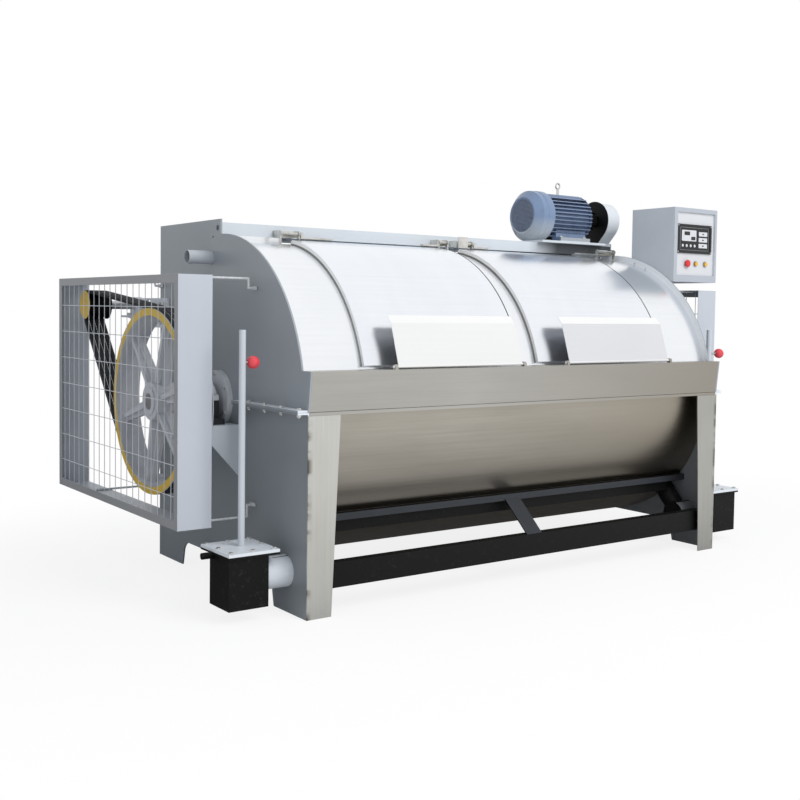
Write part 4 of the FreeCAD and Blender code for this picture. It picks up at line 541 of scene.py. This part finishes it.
# The right flap is a darker blue grey than the left: painted reflection.
for side, tones in (("left", ("#f8f9f9", "#f3f4f4")), ("right", ("#e8e9ed", "#e2e3e7"))):
    flap_steel = brushed_stainless("bent stainless, flap face " + side, *tones, 0.3, *flap_runs, cut=0.012)
    finished("flap_" + side, "flap_" + side, flap_steel, flap_top_highlight, edge=0.8,
                     pick=lambda f: 1 if f.normal.z > 0.5 else 0)

# Door latches. Cranked bars on pins, between the cheeks of small brackets on top of the tub.
# Polished stainless; their faces looking forward and sideways take a darker copy, a painted dark reflection.
latch_runs = ((40, 40, 40), (60, 60, 60))
latch_steel = brushed_stainless("polished stainless, latch", "#f4f4f1", "#d5d4cf", 0.16, *latch_runs)
latch_dark_reflection = brushed_stainless("polished stainless, latch, painted dark reflection", "#e8e7e3", "#a9a8a4", 0.2, *latch_runs)


def dark_reflection_face(face):
    return 1 if face.normal.y < -0.6 or abs(face.normal.x) > 0.6 else 0


finished("latch_brackets", "frame", latch_steel, latch_dark_reflection, edge=1.2, pick=dark_reflection_face)
for i in range(1, 5):
    finished("latch_lever_%d" % i, "latch_%d" % i, latch_steel, latch_dark_reflection, edge=1.5, pick=dark_reflection_face)

# Top beam. An inverted steel channel joins the plates at the top, sprayed pale grey. Its front carries a
# painted shadow below the motor's base plate.
beam_enamel = sprayed_enamel("pale grey enamel, sprayed", "#d6dce2", "#cad0d6", 0.38)
# Darkens towards the right, below the motor's base plate: painted shadow.
beam_front_shadowed = sprayed_enamel("pale grey enamel, painted shadow below the motor", "#d6dce2", "#cad0d6", 0.38,
                            fade=("X", 0.59, 0.8, "#434649"))
finished("top_beam", "frame", beam_enamel, beam_front_shadowed, edge=2.5,
                 pick=lambda f: 1 if f.normal.y < -0.9 else 0)
finished("motor_base_plate", "frame", beam_enamel, edge=1.2)

# Motor. A finned cast housing with feet, an eye bolt and a terminal box, in blue-grey enamel. The
# pressed fan cover, paler towards its foot, slopes to a punched grille, through which the fan shows.
motor_enamel = sprayed_enamel("blue-grey motor enamel", "#8192af", "#6f7f99", 0.3, 90, 6)
foot_enamel = sprayed_enamel("grey primer, motor feet", "#b3b8bd", "#9a9fa5", 0.45, 60, 6)
feet_high, eye_low = 1.63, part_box("motor_body")[1][2] - 0.066


def motor_face(face):
    z = middle(face).z
    return 1 if z < feet_high else 2 if z > eye_low else 0


finished("motor_body", "frame", motor_enamel, foot_enamel, zinc, edge=1.5, pick=motor_face)
fan_x, fan_y, fan_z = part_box("motor_fan_cover")[0][0], 0.0585, 1.737
face_r, mesh_r, fan_deep = 0.1, 0.0935, 0.11
fan_enamel = sprayed_enamel("blue-grey motor enamel, fan cover", "#7d91b0", "#6f829f", 0.3, 90, 6,
                            fade=("Z", fan_z - 0.01, fan_z - 0.1, "#b6bdc3"))


def off_face(spot):
    return spot.x > fan_x + 0.0025 or math.hypot(spot.y - fan_y, spot.z - fan_z) > face_r - 0.0015


finished("motor_fan_cover", "frame", fan_enamel, edge=1.5, keep=off_face)


def turned(name, profile, centre, axis, coat, steps=64, split=35):
    """A piece turned on the lathe: profile is (radius, distance along the axis) in mm."""
    work = bmesh.new()
    place = {"X": lambda r, d, c, s: (d, r * c, r * s), "Y": lambda r, d, c, s: (r * c, d, r * s),
             "Z": lambda r, d, c, s: (r * c, r * s, d)}[axis]
    rings = []
    for r, d in profile:
        ring = []
        for i in range(steps if r > 0 else 1):
            t = 2 * math.pi * i / steps
            spot = Vector(place(r / 1000, d / 1000, math.cos(t), math.sin(t))) + Vector(centre)
            ring.append(work.verts.new(spot))
        rings.append(ring)
    for a, b in zip(rings, rings[1:]):
        for i in range(steps):
            corners = [a[i % len(a)], a[(i + 1) % len(a)], b[(i + 1) % len(b)], b[i % len(b)]]
            work.faces.new(list(dict.fromkeys(corners)))
    bmesh.ops.remove_doubles(work, verts=work.verts, dist=1e-7)
    bmesh.ops.recalc_face_normals(work, faces=work.faces)
    smoothed(work, split)
    return built(name, work, coat)


grille_ring = turned("fan_grille_rim", [(90, 2.5), (90, 0.4), (91, 0), (98.5, 0), (100, 1.2), (100, 2.5), (90, 2.5)],
                     (fan_x, fan_y, fan_z), "X", fan_enamel)
fan_band = turned("fan_cover_band", [(138, 72), (139.6, 73), (140.2, 76), (140.2, 116), (139.6, 118), (138, 118.5),
                                     (138, 72)], (fan_x, fan_y, fan_z), "X", fan_enamel)
sieve, given, made = recipe("punched sheet", (("Cell radius", "Float"), ("Open share", "Float"), ("Sheet", "Float"),
                                              ("Facing", "Rotation"), ("Finish", "Material")))
cell = put(sieve, "GeometryNodeMeshCircle", {"Vertices": 6, "Radius": given["Cell radius"]}, fill_type="NGON")
rim = put(sieve, "GeometryNodeExtrudeMesh", {"Mesh": cell.outputs["Mesh"], "Offset Scale": 0.0})
ringed = put(sieve, "GeometryNodeScaleElements", {"Geometry": rim.outputs["Mesh"], "Selection": rim.outputs["Top"],
                                                  "Scale": given["Open share"]})
wall = put(sieve, "GeometryNodeExtrudeMesh", {"Mesh": ringed.outputs["Geometry"], "Selection": rim.outputs["Top"],
                                              "Offset Scale": given["Sheet"]})
opened = put(sieve, "GeometryNodeDeleteGeometry", {"Geometry": wall.outputs["Mesh"], "Selection": wall.outputs["Top"]},
             domain="FACE")
laid = put(sieve, "GeometryNodeInstanceOnPoints", {"Points": given["Points"], "Instance": opened.outputs["Geometry"],
                                                   "Rotation": given["Facing"]})
solid = put(sieve, "GeometryNodeRealizeInstances", {"Geometry": laid.outputs["Instances"]})
closed = put(sieve, "GeometryNodeMergeByDistance", {"Geometry": solid.outputs["Geometry"], "Distance": 0.00005})
coated = put(sieve, "GeometryNodeSetMaterial", {"Geometry": closed.outputs["Geometry"], "Material": given["Finish"]})
sieve.links.new(coated.outputs["Geometry"], made["Made"])
grille_enamel = sprayed_enamel("blue-grey motor enamel, worn pale", "#929fb7", "#8390a8", 0.3, 90, 6)
cell_r = 0.0046
cells = []
for row in range(-14, 15):
    for col in range(-12, 13):
        y = cell_r * math.sqrt(3) * (col + 0.5 * (row % 2))
        z = cell_r * 1.5 * row
        if math.hypot(y, z) < mesh_r:
            cells.append((fan_x + 0.0012, fan_y + y, fan_z + z))
grille = grown("fan_grille", sieve, {"Cell radius": cell_r, "Open share": 0.76, "Sheet": -0.0016,
                                     "Facing": (0.0, -math.pi / 2, 0.0), "Finish": grille_enamel}, cells)
for piece in (grille_ring, fan_band, grille):
    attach(piece, "frame")
    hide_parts("motor_fan_cover")
fan_plastic = sprayed_enamel("fan, moulded black", "#26282b", "#1b1c1f", 0.5, 60, 6)
finished("motor_rotor", "motor_rotor", fan_plastic, turned_steel, edge=0.6,
                 pick=lambda f: 0 if middle(f).x < fan_x + fan_deep else 1)
# The motor pulley is black: painted shade, for the shadow it sits in beside the belt cover.
finished("motor_pulley", "motor_rotor", black_enamel, edge=1.0)

# Belt cover. A welded sheet hood over the motor's belts, white enamel, on a back plate painted black: painted shade for
# the hood's dark inside.
cover_enamel = sprayed_enamel("white sheet enamel", "#dfe3e7", "#d3d7dc", 0.35)
finished("belt_cover", "frame", cover_enamel, edge=2.0)
# The back plate's black is painted shade for the dark inside of the hood.
finished("belt_cover_back", "frame", black_enamel, edge=1.2)

# Water inlet and drains. A painted pipe stub high on the left plate, and at the foot of each plate a
# drain pipe into a black box, with a bolted lid and a slotted sleeve for the lifting handle.
pipe_enamel = sprayed_enamel("grey pipe enamel", "#dbe0e6", "#c8cdd3", 0.36, 120, 8)
lid_enamel = sprayed_enamel("grey enamel over rough plate", "#e6eaef", "#d2d7dd", 0.4, 90, 9, "#8f8b84", 0.3)
box_black = sprayed_enamel("black enamel over rough plate", "#161616", "#0e0e0e", 0.5, 90, 10, "#4a4946", 0.6, 0.16)
inlet_enamel = sprayed_enamel("grey pipe enamel, darker", "#c3c8ce", "#b0b5bb", 0.36, 120, 8)
finished("inlet_pipe", "frame", inlet_enamel, edge=0.8)
plate_mid = 1.21


# Between the plates the pipes take the box's black, and outside the right plate the darker plate grey: both painted
# shade.
def shaded_pipe_face(face):
    x = middle(face).x
    return 1 if abs(x) < plate_mid else 2 if x > 0 else 0


finished("drain_pipes", "frame", pipe_enamel, box_black, plate_dim_shaded, edge=1.0, pick=shaded_pipe_face)
finished("drain_boxes", "frame", box_black, edge=1.5)
sleeve_enamel = sprayed_enamel("grey pipe enamel, sleeve", "#cbd0d6", "#bcc1c8", 0.36, 120, 8)
lid_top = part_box("drain_boxes")[1][2] + 0.03
finished("drain_lids", "frame", lid_enamel, sleeve_enamel, edge=1.2,
                 pick=lambda f: 1 if middle(f).z > lid_top else 0)

# Drain handles. A steel rod inside each sleeve lifts the drain's plug, and a short arm through the
# slot ends in a red moulded ball.
ball_red, tree, place = blank("phenolic ball, moulded red")
flow = put(tree, "ShaderNodeTexNoise", {"Vector": place, "Scale": 1000 / 30, "Detail": 3.0})
tone = mixed(tree, flow.outputs["Fac"], linear("#d33b45"), linear("#ea4c57"))
moulded = put(tree, "ShaderNodeBsdfPrincipled", {"Base Color": tone, "Roughness": 0.25, "IOR": 1.55})
put(tree, "ShaderNodeOutputMaterial", {"Surface": moulded.outputs["BSDF"]})
ball_mm, neck_mm = 25.9, 25.7
for side, x in (("left", -1.354), ("right", 1.485)):
    ball_spot = Vector((x, -0.651, 1.0))

    def off_ball(spot, centre=ball_spot):
        return (spot - centre).length > 0.0267

    node = "drain_handle_" + side
    body = "drain_lift_" + side
    finished(node, body, turned_steel, edge=0.6, keep=off_ball, name=node + ".rod")
    rounds = [(ball_mm * math.sin(math.radians(a)), -ball_mm * math.cos(math.radians(a))) for a in range(18, 180, 9)]
    rounds = [(0, -neck_mm), (6.0, -neck_mm)] + rounds + [(0, ball_mm)]
    ball = turned(node + ".ball", rounds, ball_spot, "X", ball_red, 40)
    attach(ball, body)
    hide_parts(node)

# Control box. A folded sheet case on the right plate in textured grey enamel, with a recessed pale
# front. The front is left plain above and below the instrument.
case_enamel = sprayed_enamel("textured grey enamel", "#cdd3d9", "#c0c6cd", 0.48, 160, 5)
front_enamel = sprayed_enamel("smooth pale enamel", "#d3d4d7", "#cacbce", 0.35, 200, 9)
case_front_shaded = sprayed_enamel("textured grey enamel, front, painted shade", "#b2b7bf", "#a8adb5", 0.48, 160, 5)
# The front faces take a darker copy of the case enamel: painted shade.
finished("control_box", "frame", case_enamel, case_front_shaded, edge=1.5,
                 pick=lambda f: 1 if f.normal.y < -0.8 else 0)
finished("control_panel", "frame", front_enamel, edge=0.4)


# Instrument. A black moulded unit with a raised border line, two dark displays on a pale field, a row
# of round keys and a column of three wide keys. Four screws hold its corners.
def slab(name, x0, x1, z0, z1, y0, y1, corner, coat, edge=0.3):
    """A moulded tablet on the panel: its front at y0, its back at y1, its corners rounded."""
    work = bmesh.new()
    ring = []
    for cx, cz, start in ((x1 - corner, z1 - corner, 0), (x0 + corner, z1 - corner, 90),
                          (x0 + corner, z0 + corner, 180), (x1 - corner, z0 + corner, 270)):
        for k in range(7):
            t = math.radians(start + 15 * k)
            x, z = cx + corner * math.cos(t), cz + corner * math.sin(t)
            ring.append(work.verts.new((x / 1000, y1 / 1000, z / 1000)))
    back = work.faces.new(ring)
    front = bmesh.ops.extrude_face_region(work, geom=[back])["geom"]
    moved = [v for v in front if isinstance(v, bmesh.types.BMVert)]
    bmesh.ops.translate(work, verts=moved, vec=(0, (y0 - y1) / 1000, 0))
    bmesh.ops.recalc_face_normals(work, faces=work.faces)
    smoothed(work, 30)
    piece = built(name, work, coat)
    rounded(piece, edge, 30)
    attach(piece, "frame")


def moulded_plastic(name, colour, shade, rough):
    """Moulded ABS: even, with a faint spark-eroded grain of about 1 mm."""
    plastic, tree, place = blank(name)
    grain = put(tree, "ShaderNodeTexNoise", {"Vector": place, "Scale": 1000 / 1.2, "Detail": 2.0})
    flow = put(tree, "ShaderNodeTexNoise", {"Vector": place, "Scale": 1000 / 45, "Detail": 3.0})
    tone = mixed(tree, flow.outputs["Fac"], linear(shade), linear(colour))
    skin = put(tree, "ShaderNodeBump", {"Height": grain.outputs["Fac"], "Strength": 0.08, "Distance": 0.0005})
    coat = put(tree, "ShaderNodeBsdfPrincipled", {"Base Color": tone, "Roughness": rough, "IOR": 1.5,
                                                  "Normal": skin.outputs["Normal"]})
    put(tree, "ShaderNodeOutputMaterial", {"Surface": coat.outputs["BSDF"]})
    return plastic


unit_black = moulded_plastic("ABS, moulded black", "#141518", "#0e0f11", 0.42)
key_pale = moulded_plastic("ABS, moulded pale grey", "#d4d6d8", "#c6c8cb", 0.4)
display_dark = moulded_plastic("acrylic window, smoked", "#221d1f", "#171416", 0.12)
line_grey = moulded_plastic("border line, printed grey", "#9b9ea1", "#8d9093", 0.45)
finished("instrument", "frame", unit_black, edge=1.0)
low, high = [[c * 1000 for c in corner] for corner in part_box("instrument")]
ux, uz, uy = low[0], low[2], low[1] + 3.0
uw, uh = high[0] - low[0], high[2] - low[2]


def on_unit(name, x0, x1, z0, z1, front, back, corner, coat, edge=0.3):
    """A tablet placed in shares of the unit's width and height."""
    slab(name, ux + uw * x0, ux + uw * x1, uz + uh * z0, uz + uh * z1, uy - front, uy + back, corner, coat, edge)


for k, spans in enumerate(((0.085, 0.915, 0.885, 0.895), (0.085, 0.915, 0.105, 0.115), (0.085, 0.0905, 0.11, 0.89),
                           (0.9095, 0.915, 0.11, 0.89))):
    on_unit("instrument_line_%d" % k, *spans, 0.5, 0.2, 0.5, line_grey, 0.1)
on_unit("instrument_field", 0.13, 0.55, 0.42, 0.80, 1.0, 0.2, 4, key_pale)
for k, spans in enumerate(((0.20, 0.36, 0.62, 0.75), (0.40, 0.52, 0.46, 0.58))):
    on_unit("instrument_display_%d" % k, *spans, 1.8, -0.8, 2, display_dark)
for k in range(3):
    z = 0.20 + 0.205 * k
    on_unit("instrument_bar_%d" % k, 0.62, 0.87, z, z + 0.15, 1.6, 0.2, 4, key_pale)
    on_unit("instrument_mark_%d" % k, 0.72, 0.77, z + 0.055, z + 0.095, 2.0, -1.4, 1.5, display_dark)
for k in range(4):
    x = ux + uw * (0.16 + 0.115 * k)
    key = turned("instrument_key_%d" % k, [(0, -2.4), (6.0, -2.4), (7.6, -1.6), (8.0, -0.6), (8.0, 0.2), (0, 0.2)],
                 (x / 1000, uy / 1000, (uz + uh * 0.26) / 1000), "Y", key_pale, 24)
    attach(key, "frame")
for k, (x, z) in enumerate(((7, 7), (uw - 7, 7), (7, uh - 7), (uw - 7, uh - 7))):
    head = turned("instrument_screw_%d" % k, [(0, -1.3), (2.2, -1.1), (3.4, -0.4), (3.6, 0.1), (0, 0.1)],
                  ((ux + x) / 1000, low[1] / 1000 + 0.0001, (uz + z) / 1000), "Y", zinc, 20)
    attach(head, "frame")

# Push buttons. A red mushroom button to stop and two yellow ones, each in a chromed bezel on the panel.
# They are moulded, so their edges are soft and their faces slightly dished or domed.
bezel_chrome = brushed_stainless("bezel, chromed", "#dcdcda", "#8f8f8d", 0.2, (12, 12, 12), (30, 30, 30))
finished("button_bezels", "frame", bezel_chrome, edge=1.0)
stop_red = moulded_plastic("ABS, moulded red", "#dc3436", "#c8282c", 0.3)
button_yellow = moulded_plastic("ABS, moulded yellow", "#e6b53c", "#d8a42f", 0.32)
for node, coat in (("stop_button", stop_red), ("start_button", button_yellow), ("jog_button", button_yellow)):
    low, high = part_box(node)
    centre = ((low[0] + high[0]) / 2, low[1], (low[2] + high[2]) / 2)
    deep = (high[1] - low[1]) * 1000
    if node == "stop_button":
        shape = [(0, 0), (8, 0.4), (14, 1.6), (18, 3.6), (19.8, 6.4), (20, 8.4), (18.6, 10), (7, 10)]
    else:
        shape = [(0, 1.0), (6, 0.8), (8.6, 0.1), (9.6, 0), (10.6, 0.6), (11, 1.8), (11, 6.4), (7, 6.6)]
    button = turned(node + ".moulded", shape + [(7, deep), (0, deep)], centre, "Y", coat, 40)
    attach(button, node)
    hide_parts(node)

# Studio. A pale floor that goes over into a white background, one wide soft lamp in front and above, and
# an even white surround. The camera sees the floor partly as a light box, so only the contact shadow is
# left. To glossy rays the floor glows in a ramp, dark under the machine and white far off: painted shade
# in the steel's reflection.
floor_mesh = bpy.data.meshes.new("floor")
reach, below = 40, -0.0005
corners = [(x * reach, y * reach, below) for x, y in ((-1, -1), (1, -1), (1, 1), (-1, 1))]
floor_mesh.from_pydata(corners, [], [(0, 1, 2, 3)])
floor = bpy.data.objects.new("floor", floor_mesh)
bpy.context.scene.collection.objects.link(floor)
floor_paint, tree, place = blank("matt white floor")
oval = put(tree, "ShaderNodeVectorMath", {0: place, 1: (0.62, 1.0, 1.0)}, operation="MULTIPLY")
far = put(tree, "ShaderNodeVectorMath", {0: oval.outputs[0]}, operation="LENGTH")
fade = put(tree, "ShaderNodeMapRange", {0: far.outputs["Value"], 1: 1.0, 2: 2.6, 3: 0.0, 4: 1.0},
           interpolation_type="SMOOTHSTEP")
ray = put(tree, "ShaderNodeLightPath")
lift = put(tree, "ShaderNodeMapRange", {0: fade.outputs[0], 1: 0.0, 2: 1.0, 3: 0.84, 4: 1.0})
shown = put(tree, "ShaderNodeMath", {0: lift.outputs[0], 1: ray.outputs["Is Camera Ray"]}, operation="MULTIPLY")
matt = put(tree, "ShaderNodeBsdfDiffuse", {"Color": linear("#f8f8f7")})
glow = put(tree, "ShaderNodeEmission", {"Strength": 1.0})
both = put(tree, "ShaderNodeMixShader", {0: shown.outputs[0], 1: matt.outputs[0], 2: glow.outputs[0]})
depth = put(tree, "ShaderNodeSeparateXYZ", {"Vector": place})
ahead = put(tree, "ShaderNodeMapRange", {0: depth.outputs["Y"], 1: -0.45, 2: -4.45, 3: 0.0, 4: 1.0})
# Glow levels the steel sees in the floor: painted shade in its reflection, darkest under the machine.
stops = ((0.0, 0.055), (0.032, 0.1), (0.058, 0.3), (0.095, 0.5), (0.14, 0.62), (0.30, 0.8), (0.49, 0.9), (1.0, 0.92))
grade = ramp(tree, ahead.outputs[0], [(spot, (level, level, level, 1.0)) for spot, level in stops])
reflected_shade_glow = put(tree, "ShaderNodeEmission", {"Color": grade, "Strength": 1.0})
both = put(tree, "ShaderNodeMixShader", {0: ray.outputs["Is Glossy Ray"], 1: both.outputs[0], 2: reflected_shade_glow.outputs[0]})
put(tree, "ShaderNodeOutputMaterial", {"Surface": both.outputs[0]})
floor_mesh.materials.append(floor_paint)

world = bpy.data.worlds.new("white studio")
bpy.context.scene.world = world
world.use_nodes = True
tree = world.node_tree
tree.nodes.clear()
ray = put(tree, "ShaderNodeLightPath")
seen = put(tree, "ShaderNodeMath", {0: ray.outputs["Is Camera Ray"], 1: ray.outputs["Is Glossy Ray"]},
           operation="MAXIMUM")
seen = put(tree, "ShaderNodeMath", {0: seen.outputs[0], 1: ray.outputs["Is Transmission Ray"]}, operation="MAXIMUM")
surround = put(tree, "ShaderNodeBackground", {"Color": linear("#f1f5fb"), "Strength": 0.62})
white = put(tree, "ShaderNodeBackground", {"Color": (1.0, 1.0, 1.0, 1.0), "Strength": 1.0})
both = put(tree, "ShaderNodeMixShader", {0: seen.outputs[0], 1: surround.outputs[0], 2: white.outputs[0]})
put(tree, "ShaderNodeOutputWorld", {"Surface": both.outputs[0]})

lamp = bpy.data.lights.new("soft lamp, front", "AREA")
lamp.size = 4.0
lamp.energy = 285.0
holder = bpy.data.objects.new("soft lamp, front", lamp)
bpy.context.scene.collection.objects.link(holder)
spot, aim = Vector((0.6, -5.6, 4.9)), Vector((0, 0, 0.9))
holder.matrix_world = Matrix.Translation(spot) @ (aim - spot).to_track_quat("-Z", "Y").to_matrix().to_4x4()
holder.visible_glossy = False

# Camera. At the photograph's place: to the left of the machine and a little above its middle.
eye = (-3.4093, -4.4847, 1.2153)
yaw, pitch, roll = math.radians(35.80), math.radians(-2.87), math.radians(0.79)
ahead = Vector((math.sin(yaw) * math.cos(pitch), math.cos(yaw) * math.cos(pitch), math.sin(pitch)))
right = Vector((math.cos(yaw), -math.sin(yaw), 0))
up = right.cross(ahead)
side = right * math.cos(roll) + up * math.sin(roll)
top = up * math.cos(roll) - right * math.sin(roll)
lens = bpy.data.cameras.new("camera")
lens.lens = 49.59
lens.shift_y = -0.0444
lens.clip_end = 200
camera = bpy.data.objects.new("camera", lens)
bpy.context.scene.collection.objects.link(camera)
camera.matrix_world = Matrix.Translation(eye) @ Matrix((side, top, -ahead)).transposed().to_4x4()
bpy.context.scene.camera = camera
bpy.context.scene.view_settings.view_transform = "Standard"
